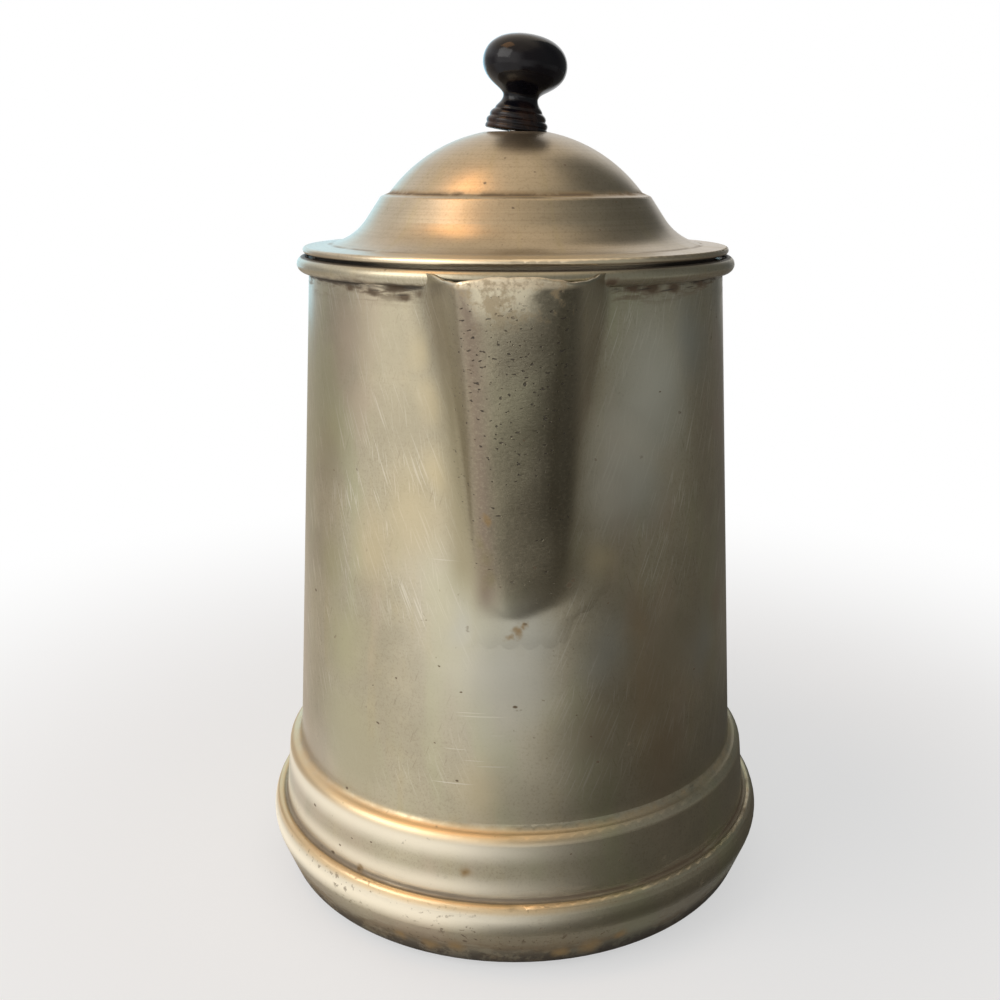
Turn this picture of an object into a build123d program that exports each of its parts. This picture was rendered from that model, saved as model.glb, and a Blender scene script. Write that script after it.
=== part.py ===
from build123d import *
import os
from math import asin, atan2, cos, degrees, hypot, pi, radians, sin, sqrt, tan

# A spun aluminium coffee pot: stepped base, tapering wall, pressed spout, hinged domed
# lid with a turned wooden knob, and a wooden handle on two riveted brackets.
# Millimetres. The origin is the centre of the flat bottom, on the table. +Z is up, the
# spout points along -Y and the handle along +Y.

# Fits
seam_gap = 0.03          # between pieces that are riveted, welded or crimped together
pin_play = 0.05          # radial play of the hinge pin in the lid's knuckle
hinge_side_play = 0.25   # between the lid's knuckle and each ear
lid_gap = 0.7            # between the lid's hem and the top of the rim bead
collar_play = 0.8        # radial, between the lid's collar and the rim

# Vessel, all radii and heights on the outer surface
body_sheet = 1.2
bulge_r = 81.1           # the widest ring, a roll above the foot
bulge_z = 17.2
bulge_round = 9.0
foot_inset = 6.6         # of the foot's corner from the widest ring
foot_corner_r = 6.0
ledge_inset = 2.1        # of the roll's top corner from the widest ring
ledge_rise = 6.0
ledge_round = 1.5
crease_inset = 2.8       # from the roll's top corner in to the crease
crease_drop = 1.0
crease_round = 0.8
shoulder_inset = 1.8     # from the crease to the shoulder
shoulder_z = 40.7
shoulder_round = 2.8
wall_foot_inset = 3.78   # from the shoulder in to the wall's foot
wall_foot_rise = 1.2
wall_foot_round = 2.2
rim_r = 61.5
rim_z = 190.0
rim_round = 12.0
bead_r = 2.3
bead_rise = 2.0          # from the top of the taper to the centre of the bead
bead_sweep_deg = 290.0

# Lid. Widths go inward from the hem, rises are above the hem's lower edge, and all are
# on the outer surface
lid_sheet = 0.7
hem_overhang = 1.5       # of the hem beyond the rim
hem_height = 1.9
hem_fold = 3.0           # width of the folded edge
ring_width = 8.0         # of the flat ring beside the hem
ring_rise = 2.4
ring_round = 1.5
flare_width = 7.4
flare_rise = 4.6
flare_round = 17.0
step_width = 7.7
step_rise = 15.93
step_round = 1.4
groove_width = 2.6
groove_rise = 17.0
groove_round = 0.8
dome_swell = 5.96        # of the dome's corner beyond the line from groove to seat
dome_straight = 0.42     # run at each end of the dome's arc
seat_margin = 0.9        # of the seat round the knob's base
seat_rise = 34.0
seat_round = 2.0
collar_sheet = 0.5
collar_depth = 8.0
collar_bend_r = 0.3
collar_edge = 1.1        # how far the collar's flange stays inside the hem's edge

# Knob, radii and heights along its own axis
knob_lean_deg = 8.0
knob_base_r = 8.7
knob_base_height = 1.2
knob_foot_r = 9.3
knob_foot_bevel = 0.4
knob_foot_top = 4.6
knob_neck_r = 4.9
knob_neck_height = 9.0
knob_head_r = 12.4
knob_head_height = 17.8
knob_height = 27.3
knob_root = 3.0          # wood below the seat before the base is cut to it
screw_r = 2.0
screw_reach = 14.0
screw_end_room = 1.0
screw_head_r = 4.0
screw_head_height = 2.4
screw_head_round = 0.8
screw_slot_width = 1.0
screw_slot_depth = 1.1
washer_r = 6.5
washer_sheet = 1.0

# Spout
spout_sheet = 1.2
lip_drop = 1.8           # below the lid's hem
spout_slope_end = 92.0   # below the hem, where the nose meets the wall
spout_reach = 20.9       # of the nose beyond the wall, at the hem's height
nose_crown = 1.8
nose_round = 40.0
corner_round = 2.4
knee_round = 6.0
spout_flange = 3.4
flange_sink = 0.4
spout_overrun = 6.0      # above the hem, before the lip is cut
spout_mid_drop = 33.0
spout_low_drop = 59.0
spout_toe_drop = 80.0
spout_tip_drop = 97.0
nose_top_half = 13.5     # half-widths at the nose's corners
nose_mid_half = 12.9
nose_low_half = 10.1
nose_toe_half = 8.0
nose_tip_half = 5.6
knee_top_half = 21.6     # half-widths where the spout meets the wall
knee_mid_half = 18.8
knee_low_half = 14.8
knee_toe_half = 11.6
knee_tip_half = 8.0
spout_tip_sink = 1.6
strainer_hole_r = 1.5
strainer_pitch = 6.0
strainer_top_drop = 18.0
strainer_rows = 11
strainer_margin = 3.5

# Hinge
pin_r = 1.6
pin_head_r = 2.4
pin_head_height = 0.9
pin_head_round = 0.54
pin_reach = 7.5          # from the hem to the pin's axis
pin_rise = 1.5           # above the hem's lower edge
knuckle_r = 3.2
knuckle_half = 6.0
ear_thick = 4.0
ear_r = 3.6
ear_corner_r = 3.4
leaf_sheet = 1.2
leaf_half = 9.5
leaf_lap = 12.5          # of the leaf's plate inward from the hem
leaf_neck_reach = 1.2    # of the plate beyond the hem
leaf_corner_r = 3.0
leaf_strap_lap = 3.8     # where the strap to the knuckle starts, inward from the hem
leaf_strap_ramp = 3.6    # from the hem to where the strap meets the knuckle's top
leaf_strap_bend = 2.0
leaf_rivet_inset = 6.4   # of the rivets' row inward from the hem
leaf_rivet_x = 6.0
stop_gap = 4.85          # from the pin's axis to the web that stops the open lid
stop_sheet = 2.0
stop_rise = 4.4          # of the web above the pin's axis
stop_corner_r = 1.0
hinge_slot_drop = 5.0
hinge_root_r = 1.0       # where the ears' block leaves the bracket
hinge_front_r = 2.0
hinge_front_step = 0.6
hinge_back_r = 3.0
bead_room = 1.3          # between the bead and the ears' block

# Handle
pad_sheet = 2.0
pad_half = 14.0
pad_corner_r = 5.0
upper_pad_drop = 4.5     # from the top of the taper to the pad's top
upper_pad_below = 20.0   # the socket's axis
lower_pad_above = 11.0
lower_pad_below = 15.0
pad_overrun = 5.0        # of the band that the pads are cut from
arm_half = 6.0
arm_half_height = 7.0
arm_root_r = 0.5
upper_arm_low = 5.0      # from the pad's lower edge to the arm
upper_arm_high = 3.0     # from the pad's top to the arm
lower_arm_inset = 4.0    # from each edge of the pad to the arm
arm_toe = 2.0            # how far the arm's lower edge stands out
upper_socket_drop = 24.0
lower_socket_z = 66.0
upper_arm_reach = 16.0   # from the wall to the back of the socket
lower_arm_reach = 10.9
lower_socket_tilt_deg = 25.0
socket_length = 12.0
socket_floor = 2.0
socket_half_x = 12.6
socket_half_z = 9.3
socket_back_round = 1.6
socket_mouth_round = 0.8
tenon_half_x = 9.0
tenon_half_z = 5.8
tenon_play = 0.05
tenon_root = 1.0         # how far the tenon runs into the grip
grip_half_x = 11.8
grip_half_z = 8.4
grip_upper_reach = 43.0  # from the back of each socket to the grip's bends
grip_lower_reach = 32.8
grip_top_bend = 22.0
grip_low_bend = 30.0
grip_pin_r = 1.25
grip_pin_inset = 5.5     # from the socket's mouth
grip_pin_sink = 0.2      # of each end below the socket's side
block_lift = 1.0         # of the hinge's block above the arm
block_back = 1.0         # of the hinge's block behind the socket's back

# Rivets
rivet_r = 1.6
rivet_head_r = 3.0
rivet_head_height = 1.7
rivet_tail_r = 2.7
rivet_tail_height = 1.0
rivet_tail_gap = 0.12
rivet_x = 10.0
upper_rivet_above = 2.0  # the socket's axis
upper_rivet_below = 14.0
lower_rivet_below = 2.0
leaf_rivet_r = 1.4
leaf_rivet_head_r = 2.0
leaf_rivet_head_height = 1.2
leaf_rivet_tail_r = 1.8
leaf_rivet_tail_height = 0.7
crown_shoulder = 0.62    # of the head's radius, where the crown bends down
crown_shoulder_rise = 0.72

# Worked out from the values above
bead_z = rim_z + bead_rise
bead_centre_r = rim_r + bead_r - body_sheet
bead_top_z = bead_z + bead_r
hem_z = bead_top_z + lid_gap
rim_inner_r = rim_r - body_sheet
collar_r = rim_inner_r - collar_play
foot_r = bulge_r - foot_inset
ledge_r = bulge_r - ledge_inset
ledge_z = bulge_z + ledge_rise
crease_r = ledge_r - crease_inset
crease_z = ledge_z - crease_drop
shoulder_r = crease_r - shoulder_inset
wall_foot_r = shoulder_r - wall_foot_inset
wall_foot_z = shoulder_z + wall_foot_rise
hem_r = rim_r + hem_overhang
ring_r = hem_r - ring_width
flare_r = ring_r - flare_width
step_r = flare_r - step_width
groove_r = step_r - groove_width
seat_r = knob_base_r + seat_margin
seat_z = hem_z + seat_rise
pin_y = hem_r + pin_reach
pin_z = hem_z + pin_rise
ear_half = knuckle_half + hinge_side_play + ear_thick
taper = (wall_foot_r - rim_r) / (rim_z - wall_foot_z)


def wall_r(z):
    """Outer radius of the tapering wall at a height."""
    return rim_r + taper * (rim_z - z)


upper_socket_z = rim_z - upper_socket_drop
upper_pad_top_z = rim_z - upper_pad_drop
upper_pad_low_z = upper_socket_z - upper_pad_below
lower_pad_top_z = lower_socket_z + lower_pad_above
lower_pad_low_z = lower_socket_z - lower_pad_below
upper_socket_back_y = wall_r(upper_socket_z) + upper_arm_reach
lower_socket_back_y = wall_r(lower_socket_z) + lower_arm_reach
upper_rivet_zs = (upper_socket_z - upper_rivet_below, upper_socket_z + upper_rivet_above)
lower_rivet_zs = (lower_socket_z - lower_rivet_below,)
spout_tip = (spout_tip_drop, nose_tip_half, knee_tip_half)
# drop below the hem, half-width at the nose's corners, half-width at the wall
spout_stations = [
    (-spout_overrun, nose_top_half, knee_top_half),
    (spout_mid_drop, nose_mid_half, knee_mid_half),
    (spout_low_drop, nose_low_half, knee_low_half),
    (spout_toe_drop, nose_toe_half, knee_toe_half),
]


def heading(start, end):
    length = hypot(end[0] - start[0], end[1] - start[1])
    return ((end[0] - start[0]) / length, (end[1] - start[1]) / length)


def beside(points, radii, distance):
    """The line moved to its left by a distance, with the corner radii that keep it parallel."""
    headings = [heading(a, b) for a, b in zip(points, points[1:])]
    before = [headings[0]] + headings
    after = headings + [headings[-1]]
    moved = []
    turned = []
    for (x, y), (ax, ay), (bx, by) in zip(points, before, after):
        scale = distance / (1 + ax * bx + ay * by)
        moved.append((x - (ay + by) * scale, y + (ax + bx) * scale))
        turned.append(ax * by - ay * bx)
    shifts = [-distance if turn > 0 else distance for turn in turned[1:-1]]
    return moved, [radius + shift for radius, shift in zip(radii, shifts)]


def rounded(points, radii):
    return FilletPolyline(*points, radius=list(radii))


def sheet_face(points, radii, thickness):
    """Section of a sheet: the given line is one surface, the other is to its left."""
    far_points, far_radii = beside(points, radii, thickness)
    near = rounded(points, radii)
    far = rounded(far_points, far_radii)
    ends = Line(points[0], far_points[0]) + Line(points[-1], far_points[-1])
    return make_face(near + far + ends)


def revolved(face):
    """The face is drawn as radius and height."""
    return revolve(Plane.XZ * face, Axis.Z)


def drilled(part, *cutters):
    for cutter in cutters:
        part = part - cutter
    return part


def body_line():
    points = [
        (0, 0),
        (foot_r, 0),
        (bulge_r, bulge_z),
        (ledge_r, ledge_z),
        (crease_r, crease_z),
        (shoulder_r, shoulder_z),
        (wall_foot_r, wall_foot_z),
        (rim_r, rim_z),
        (rim_r, bead_z),
    ]
    base = [foot_corner_r, bulge_round, ledge_round, crease_round, shoulder_round]
    return points, base + [wall_foot_round, rim_round]


def bead_face():
    """The wall's edge, curled outward and back to the wall."""
    end_deg = 180 - bead_sweep_deg
    outer = CenterArc((bead_centre_r, bead_z), bead_r, end_deg, bead_sweep_deg)
    inner = CenterArc((bead_centre_r, bead_z), bead_r - body_sheet, end_deg, bead_sweep_deg)
    ends = Line(outer @ 0, inner @ 0) + Line(outer @ 1, inner @ 1)
    return make_face(outer + inner + ends)


def wall_envelope(gap):
    """Everything inside the wall and the bead, grown by a gap."""
    low_z = wall_foot_z
    cone = [
        (0, low_z),
        (wall_r(low_z) + gap, low_z),
        (rim_r + gap, rim_z),
        (rim_r + gap, bead_z),
        (bead_centre_r, bead_z),
        (bead_centre_r, hem_z),
        (0, hem_z),
    ]
    bead = Pos(bead_centre_r, bead_z) * Circle(bead_r + gap)
    return revolved(make_face(Polyline(*cone, close=True))) + revolved(bead)


def strainer_cutters():
    """Staggered holes through the wall behind the spout."""
    cutters = []
    row_step = strainer_pitch * sin(pi / 3)
    for row in range(strainer_rows):
        drop = strainer_top_drop + row * row_step
        room = spout_width(drop) - strainer_margin
        offset = strainer_pitch / 2 * (row % 2)
        side_holes = int(nose_top_half / strainer_pitch) + 1
        for i in range(-side_holes, side_holes + 1):
            x = offset + strainer_pitch * i
            if abs(x) + strainer_hole_r <= room:
                hole = Cylinder(strainer_hole_r, wall_foot_r, rotation=(90, 0, 0))
                cutters.append(Pos(x, -wall_foot_r, hem_z - drop) * hole)
    return cutters


def body_shell():
    points, radii = body_line()
    shell = revolved(sheet_face(points, radii, body_sheet) + bead_face())
    holes = [rivet_bore(x, z, rivet_r + seam_gap) for x, z in bracket_rivet_places()]
    return drilled(shell, *strainer_cutters(), *holes)


def spout_width(drop):
    """Half-width of the spout at its nose corners, at a drop below the hem."""
    stations = spout_stations + [spout_tip]
    for (high, wide, _), (low, narrow, _) in zip(stations, stations[1:]):
        if drop <= low:
            return wide + (narrow - wide) * (drop - high) / (low - high)
    return 0.0


def fitting_radii(points, radii):
    """Corner radii no larger than the straight runs beside each corner allow."""
    result = []
    for i, radius in enumerate(radii):
        ax, ay = heading(points[i], points[i + 1])
        bx, by = heading(points[i + 1], points[i + 2])
        turn = abs(atan2(ax * by - ay * bx, ax * bx + ay * by))
        room = min(hypot(points[i + 1][0] - points[i][0], points[i + 1][1] - points[i][1]),
                   hypot(points[i + 2][0] - points[i + 1][0], points[i + 2][1] - points[i + 1][1]))
        result.append(min(radius, 0.45 * room / tan(turn / 2)))
    return result


def spout_line(drop, corner_half, knee_half, sink):
    """Plan of the spout at one height, from the left of the wall round the nose."""
    radius = wall_r(hem_z - drop)
    nose_y = radius + spout_reach * (1 - drop / spout_slope_end)
    crown = nose_crown * corner_half / nose_top_half
    knee_y = sqrt(radius**2 - knee_half**2) - sink
    spread = asin(knee_half / radius)
    flange_x = knee_half + spout_flange * cos(spread)
    flange_y = knee_y - spout_flange * sin(spread) - flange_sink
    half = [(flange_x, flange_y), (knee_half, knee_y), (corner_half, nose_y - crown)]
    left = [(-x, -y) for x, y in half]
    right = [(x, -y) for x, y in reversed(half)]
    points = left + [(0, -nose_y)] + right
    radii = [knee_round, corner_round, nose_round, corner_round, knee_round]
    return points, fitting_radii(points, radii)


def spout_section(station, sink, inset):
    drop, corner_half, knee_half = station
    points, radii = spout_line(drop, corner_half, knee_half, sink)
    if inset:
        points, radii = beside(points, radii, inset)
    back_y = -wall_r(hem_z - drop) / 2
    start, end = points[0], points[-1]
    back = Polyline(end, (end[0], back_y), (start[0], back_y), start)
    return Pos(0, 0, hem_z - drop) * make_face(rounded(points, radii) + back)


def spout_solid(inset):
    sections = [spout_section(station, 0.0, inset) for station in spout_stations]
    sections.append(spout_section(spout_tip, spout_tip_sink, inset))
    return loft(sections)


def spout():
    size = 4 * wall_foot_r
    above_lip = Pos(0, 0, hem_z - lip_drop + size / 2) * Box(size, size, size)
    hood = spout_solid(0.0) - spout_solid(spout_sheet)
    return hood - above_lip - wall_envelope(seam_gap)


def dome_corner(low, high):
    """Where the dome's two tangents meet, and the radius of the arc between them."""
    width, rise = high[0] - low[0], high[1] - low[1]
    chord = hypot(width, rise)
    corner = ((low[0] + high[0]) / 2 + dome_swell * rise / chord,
              (low[1] + high[1]) / 2 - dome_swell * width / chord)
    half_turn = atan2(2 * dome_swell, chord)
    run = hypot(chord / 2, dome_swell) - dome_straight
    return corner, run / tan(half_turn)


def lid_line():
    groove = (groove_r, groove_rise)
    seat = (seat_r, seat_rise)
    dome, dome_round = dome_corner(groove, seat)
    points = [
        (hem_r - hem_fold, 0),
        (hem_r, 0),
        (hem_r, hem_height),
        (ring_r, ring_rise),
        (flare_r, flare_rise),
        (step_r, step_rise),
        groove,
        dome,
        seat,
        (screw_r + seam_gap, seat_rise),
    ]
    hem_round = hem_height / 2
    lower = [hem_round, hem_round, ring_round, flare_round]
    radii = lower + [step_round, groove_round, dome_round, seat_round]
    return points, radii


def at_hem(points):
    return [(r, hem_z + rise) for r, rise in points]


def lid_shell():
    points, radii = lid_line()
    shell = revolved(sheet_face(at_hem(points), radii, lid_sheet))
    return drilled(shell, *leaf_rivet_bores())


def lid_collar():
    """A skirt inside the rim, with a flange whose edge is held in the hem."""
    flange_rise = lid_sheet + seam_gap
    points = [(collar_r, -collar_depth), (collar_r, flange_rise), (hem_r - collar_edge, flange_rise)]
    return revolved(sheet_face(at_hem(points), [collar_bend_r], collar_sheet))


def knob_line():
    foot = Polyline(
        (0, -knob_root),
        (knob_base_r, -knob_root),
        (knob_base_r, knob_base_height),
        (knob_foot_r, knob_base_height + knob_foot_bevel),
        (knob_foot_r, knob_foot_top),
    )
    waist = Spline(
        (knob_foot_r, knob_foot_top),
        (knob_neck_r, knob_neck_height),
        tangents=[(-0.55, 1), (0, 1)],
    )
    under = Spline(
        (knob_neck_r, knob_neck_height),
        (knob_head_r, knob_head_height),
        tangents=[(0.2, 1), (0, 1)],
    )
    crown = Spline(
        (knob_head_r, knob_head_height),
        (0, knob_height),
        tangents=[(0, 1), (-1, 0)],
    )
    core = Line((0, knob_height), (0, -knob_root))
    return foot + waist + under + crown + core


def upright(radius, height):
    return Cylinder(radius, height, align=(Align.CENTER, Align.CENTER, Align.MIN))


def knob():
    """A turned knob that leans to +X, its base cut level with the seat."""
    turned = revolved(make_face(knob_line()))
    leaning = Pos(0, 0, seat_z) * Rot(0, knob_lean_deg, 0) * turned
    below = Pos(0, 0, seat_z - knob_height / 2) * Box(4 * knob_head_r, 4 * knob_head_r, knob_height)
    bore = upright(screw_r + seam_gap, screw_reach + screw_end_room)
    return leaning - below - Pos(0, 0, seat_z) * bore


def knob_washer():
    ring = upright(washer_r, washer_sheet) - upright(screw_r + seam_gap, washer_sheet)
    return Pos(0, 0, seat_z - lid_sheet - washer_sheet) * ring


def knob_screw():
    head_top = seat_z - lid_sheet - washer_sheet
    head = upright(screw_head_r, screw_head_height)
    head = fillet(head.faces().sort_by(Axis.Z)[0].edges(), screw_head_round)
    slot = Box(3 * screw_head_r, screw_slot_width, 2 * screw_slot_depth)
    shank = upright(screw_r, seat_z + screw_reach - head_top)
    return Pos(0, 0, head_top - screw_head_height) * (head - slot) + Pos(0, 0, head_top) * shank


def ring_slope():
    """Rise of the lid's flat ring for each millimetre inward."""
    return (ring_rise - hem_height) / (hem_r - ring_r)


def leaf_rivet_places():
    """On the flange's outer surface, square to it, one each side of the hinge's middle."""
    slope = ring_slope()
    row_y = hem_r - leaf_rivet_inset
    places = []
    for x in (-leaf_rivet_x, leaf_rivet_x):
        radius = hypot(x, row_y)
        z = hem_z + hem_height + (hem_r - radius) * slope
        turn = degrees(atan2(row_y, x))
        normal = Rot(0, 0, turn) * Pos(radius, 0, z) * Rot(0, degrees(atan2(slope, 1)), 0)
        places.append(normal)
    return places


def leaf_rivet_bores():
    through = 4 * (leaf_sheet + lid_sheet)
    return [place * Cylinder(leaf_rivet_r + seam_gap, through) for place in leaf_rivet_places()]


def leaf_plan():
    """Outline of the leaf seen from above: a rounded plate and a neck to the knuckle."""
    depth = leaf_lap + leaf_neck_reach
    middle_y = hem_r + leaf_neck_reach - depth / 2
    plate = Pos(0, middle_y) * RectangleRounded(2 * leaf_half, depth, leaf_corner_r)
    neck_length = pin_reach - leaf_neck_reach + leaf_corner_r
    neck = Pos(0, pin_y - neck_length / 2) * Rectangle(2 * knuckle_half, neck_length)
    return plate + neck


def lid_hinge_leaf():
    """A strap on the lid's flange that ends in the hinge's middle knuckle."""
    points, _ = lid_line()
    flange = [points[5], points[4], points[3], points[2]]
    flange, bends = beside(flange, [flare_round, ring_round], seam_gap)
    seated = revolved(sheet_face(at_hem(flange), bends, leaf_sheet))
    knuckle_top = pin_rise + knuckle_r - leaf_sheet
    strap_y = hem_r - leaf_strap_lap
    strap = [
        (strap_y, hem_height + seam_gap + leaf_strap_lap * ring_slope()),
        (hem_r, hem_height + seam_gap),
        (hem_r + leaf_strap_ramp, knuckle_top),
        (pin_y, knuckle_top),
    ]
    rise = Plane.YZ * sheet_face(at_hem(strap), [leaf_strap_bend] * 2, leaf_sheet)
    rise = extrude(rise, knuckle_half, both=True)
    barrel = Pos(0, pin_y, pin_z) * Cylinder(knuckle_r, 2 * knuckle_half, rotation=(0, 90, 0))
    bore = Pos(0, pin_y, pin_z) * Cylinder(pin_r + pin_play, 4 * ear_half, rotation=(0, 90, 0))
    outline = extrude(Pos(0, 0, hem_z) * leaf_plan(), seat_rise)
    return drilled((seated & outline) + rise + barrel, bore, *leaf_rivet_bores())


def domed_rivet(shank, head, head_height, grip, tail, tail_height):
    """Head above the XY plane, shank through the grip below it, then the upset tail."""
    bend = (head * crown_shoulder, head_height * crown_shoulder_rise)
    crown = ThreePointArc((0, head_height), bend, (head, 0))
    rest = Polyline(
        (head, 0),
        (shank, 0),
        (shank, -grip),
        (tail, -grip),
        (tail, -grip - tail_height),
        (0, -grip - tail_height),
        (0, head_height),
    )
    return revolved(make_face(crown + rest))


def lid_leaf_rivets():
    rivet = domed_rivet(leaf_rivet_r, leaf_rivet_head_r, leaf_rivet_head_height,
                        leaf_sheet + 2 * seam_gap + lid_sheet + rivet_tail_gap,
                        leaf_rivet_tail_r, leaf_rivet_tail_height)
    lift = Pos(0, 0, leaf_sheet + 2 * seam_gap)
    return [place * lift * rivet for place in leaf_rivet_places()]


def hinge_pin():
    half = ear_half + seam_gap
    shank = Cylinder(pin_r, 2 * half)
    ends = [Pos(0, 0, side * (half + pin_head_height / 2)) * Cylinder(pin_head_r, pin_head_height)
            for side in (-1, 1)]
    pin = shank + ends[0] + ends[1]
    faces = pin.faces().sort_by(Axis.Z)
    pin = fillet(faces[0].edges() + faces[-1].edges(), pin_head_round)
    return Pos(0, pin_y, pin_z) * Rot(0, 90, 0) * pin


def wall_pad(low_z, top_z):
    """A plate curved to the wall, with rounded corners."""
    line = [(wall_r(z), z) for z in (low_z - pad_overrun, top_z + upper_pad_drop / 2)]
    line, _ = beside(line, [], -seam_gap)
    far, _ = beside(line, [], -pad_sheet)
    band = revolved(make_face(Polyline(line[0], line[1], far[1], far[0], close=True)))
    plan = Pos(0, (low_z + top_z) / 2) * RectangleRounded(2 * pad_half, top_z - low_z, pad_corner_r)
    return band & extrude(Plane.XZ * plan, -2 * wall_foot_r)


def bracket_rivet_places():
    """Where the brackets' rivets cross the wall."""
    return [(x, z) for z in upper_rivet_zs + lower_rivet_zs for x in (-rivet_x, rivet_x)]


def on_wall(x, z):
    """A place on the wall's outer surface, behind the pot, square to it."""
    radius = wall_r(z)
    turn = 90 - degrees(asin(x / radius))
    return Rot(0, 0, turn) * Pos(radius, 0, z) * Rot(0, 90 - degrees(atan2(taper, 1)), 0)


def rivet_bore(x, z, radius):
    return on_wall(x, z) * Cylinder(radius, 4 * (body_sheet + pad_sheet))


def bracket_rivets(heights):
    rivet = domed_rivet(rivet_r, rivet_head_r, rivet_head_height,
                        pad_sheet + 2 * seam_gap + body_sheet + rivet_tail_gap,
                        rivet_tail_r, rivet_tail_height)
    lift = Pos(0, 0, pad_sheet + 2 * seam_gap)
    return [on_wall(x, z) * lift * rivet for z in heights for x in (-rivet_x, rivet_x)]


def socket_place(upper):
    """At the back of a socket, with its axis along the place's Z."""
    if upper:
        return Pos(0, upper_socket_back_y, upper_socket_z) * Rot(-90, 0, 0)
    return Pos(0, lower_socket_back_y, lower_socket_z) * Rot(lower_socket_tilt_deg - 90, 0, 0)


def oval(half_x, half_z, length):
    return extrude(Ellipse(half_x, half_z), length)


def socket(upper):
    cup = oval(socket_half_x, socket_half_z, socket_length)
    cup = fillet(cup.edges().group_by(Axis.Z)[0], socket_back_round)
    cup = fillet(cup.edges().group_by(Axis.Z)[-1], socket_mouth_round)
    depth = socket_length - socket_floor
    bore = oval(tenon_half_x + tenon_play, tenon_half_z + tenon_play, 2 * depth)
    cup = cup - Pos(0, 0, socket_floor) * bore
    return socket_place(upper) * (cup - grip_pin_rod(grip_pin_r + tenon_play, 4 * socket_half_x))


def grip_pin_rod(radius, length):
    """Across the socket, along X, in the socket's own frame."""
    return Pos(0, 0, socket_length - grip_pin_inset) * Cylinder(radius, length, rotation=(0, 90, 0))


def side_plate(points, radii, half):
    """A plate across X from a line of (y, z) points with rounded inner corners."""
    outline = rounded(points, radii) + Line(points[-1], points[0])
    return extrude(Plane.YZ * make_face(outline), half, both=True)


def hinge_ears():
    """Two ears round the hinge pin and the web behind them that stops the open lid."""
    block_low_z = upper_socket_z + arm_half_height + block_lift
    bead_clear_z = bead_z - bead_r - bead_room
    front_y = pin_y - ear_r
    back_y = pin_y + stop_gap + stop_sheet
    points = [
        (wall_r(block_low_z) + pad_sheet / 2, block_low_z),
        (wall_r(upper_pad_top_z) + pad_sheet / 2, upper_pad_top_z),
        (front_y - hinge_front_step, bead_clear_z),
        (front_y, pin_z + ear_r),
        (back_y, pin_z + stop_rise),
        (back_y, bead_clear_z),
        (upper_socket_back_y + block_back, upper_socket_z + arm_half_height),
    ]
    radii = [hinge_root_r, hinge_front_r, ear_corner_r, stop_corner_r, hinge_back_r]
    block = side_plate(points, radii, ear_half)
    slot_low_z = pin_z - hinge_slot_drop
    slot_half = knuckle_half + hinge_side_play
    slot = Pos(0, pin_y + stop_gap, slot_low_z) * Box(
        2 * slot_half, 4 * ear_r, 4 * hinge_slot_drop, align=(Align.CENTER, Align.MAX, Align.MIN))
    bore = Pos(0, pin_y, pin_z) * Cylinder(pin_r + seam_gap, 4 * ear_half, rotation=(0, 90, 0))
    return block - slot - bore


def upper_handle_bracket():
    pad = wall_pad(upper_pad_low_z, upper_pad_top_z)
    root_y = wall_r(upper_socket_z) + pad_sheet / 2
    back_y = upper_socket_back_y + socket_floor / 2
    low_z = upper_pad_low_z + upper_arm_low
    points = [
        (root_y, low_z),
        (root_y, upper_pad_top_z - upper_arm_high),
        (back_y, upper_socket_z + arm_half_height),
        (back_y, upper_socket_z - arm_half_height),
        (root_y + arm_toe, low_z),
    ]
    arm = side_plate(points, [arm_root_r] * 3, arm_half)
    bracket = pad + arm + hinge_ears() + socket(True)
    return finished_bracket(bracket, upper_rivet_zs)


def lower_handle_bracket():
    pad = wall_pad(lower_pad_low_z, lower_pad_top_z)
    root_y = wall_r(lower_socket_z) + pad_sheet / 2
    lean = radians(lower_socket_tilt_deg)
    back = (lower_socket_back_y + socket_floor / 2 * cos(lean),
            lower_socket_z + socket_floor / 2 * sin(lean))
    across = (arm_half_height * sin(lean), arm_half_height * cos(lean))
    low_z = lower_pad_low_z + lower_arm_inset
    points = [
        (root_y, low_z),
        (root_y, lower_pad_top_z - lower_arm_inset),
        (back[0] - across[0], back[1] + across[1]),
        (back[0] + across[0], back[1] - across[1]),
        (root_y + arm_toe, low_z),
    ]
    arm = side_plate(points, [arm_root_r] * 3, arm_half)
    return finished_bracket(pad + arm + socket(False), lower_rivet_zs)


def finished_bracket(bracket, heights):
    bores = [rivet_bore(x, z, rivet_r + seam_gap) for z in heights for x in (-rivet_x, rivet_x)]
    return drilled(bracket, wall_envelope(seam_gap), *bores)


def socket_mouth(upper):
    place = socket_place(upper) * Pos(0, 0, socket_length + seam_gap)
    return place.position


def handle_grip():
    """An oval bar bent from socket to socket, with a tenon in each."""
    high = socket_mouth(True)
    low = socket_mouth(False)
    top_y = upper_socket_back_y + grip_upper_reach
    low_y = lower_socket_back_y + grip_lower_reach
    path = FilletPolyline(
        (0, high.Y, high.Z),
        (0, top_y, high.Z),
        (0, low_y, low.Z + (low_y - low.Y) * tan(radians(lower_socket_tilt_deg))),
        (0, low.Y, low.Z),
        radius=[grip_top_bend, grip_low_bend],
    )
    mouth = socket_place(True) * Pos(0, 0, socket_length + seam_gap)
    grip = sweep(mouth * Ellipse(grip_half_x, grip_half_z), path)
    tenon_start = socket_floor + 2 * tenon_play
    tenon_length = socket_length + tenon_root - tenon_start
    for upper in (True, False):
        tenon = Pos(0, 0, tenon_start) * oval(tenon_half_x, tenon_half_z, tenon_length)
        hole = grip_pin_rod(grip_pin_r + tenon_play, 4 * socket_half_x)
        grip = grip + socket_place(upper) * tenon - socket_place(upper) * hole
    return grip


def grip_pin(upper):
    return socket_place(upper) * grip_pin_rod(grip_pin_r, 2 * (socket_half_x - grip_pin_sink))


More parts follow.
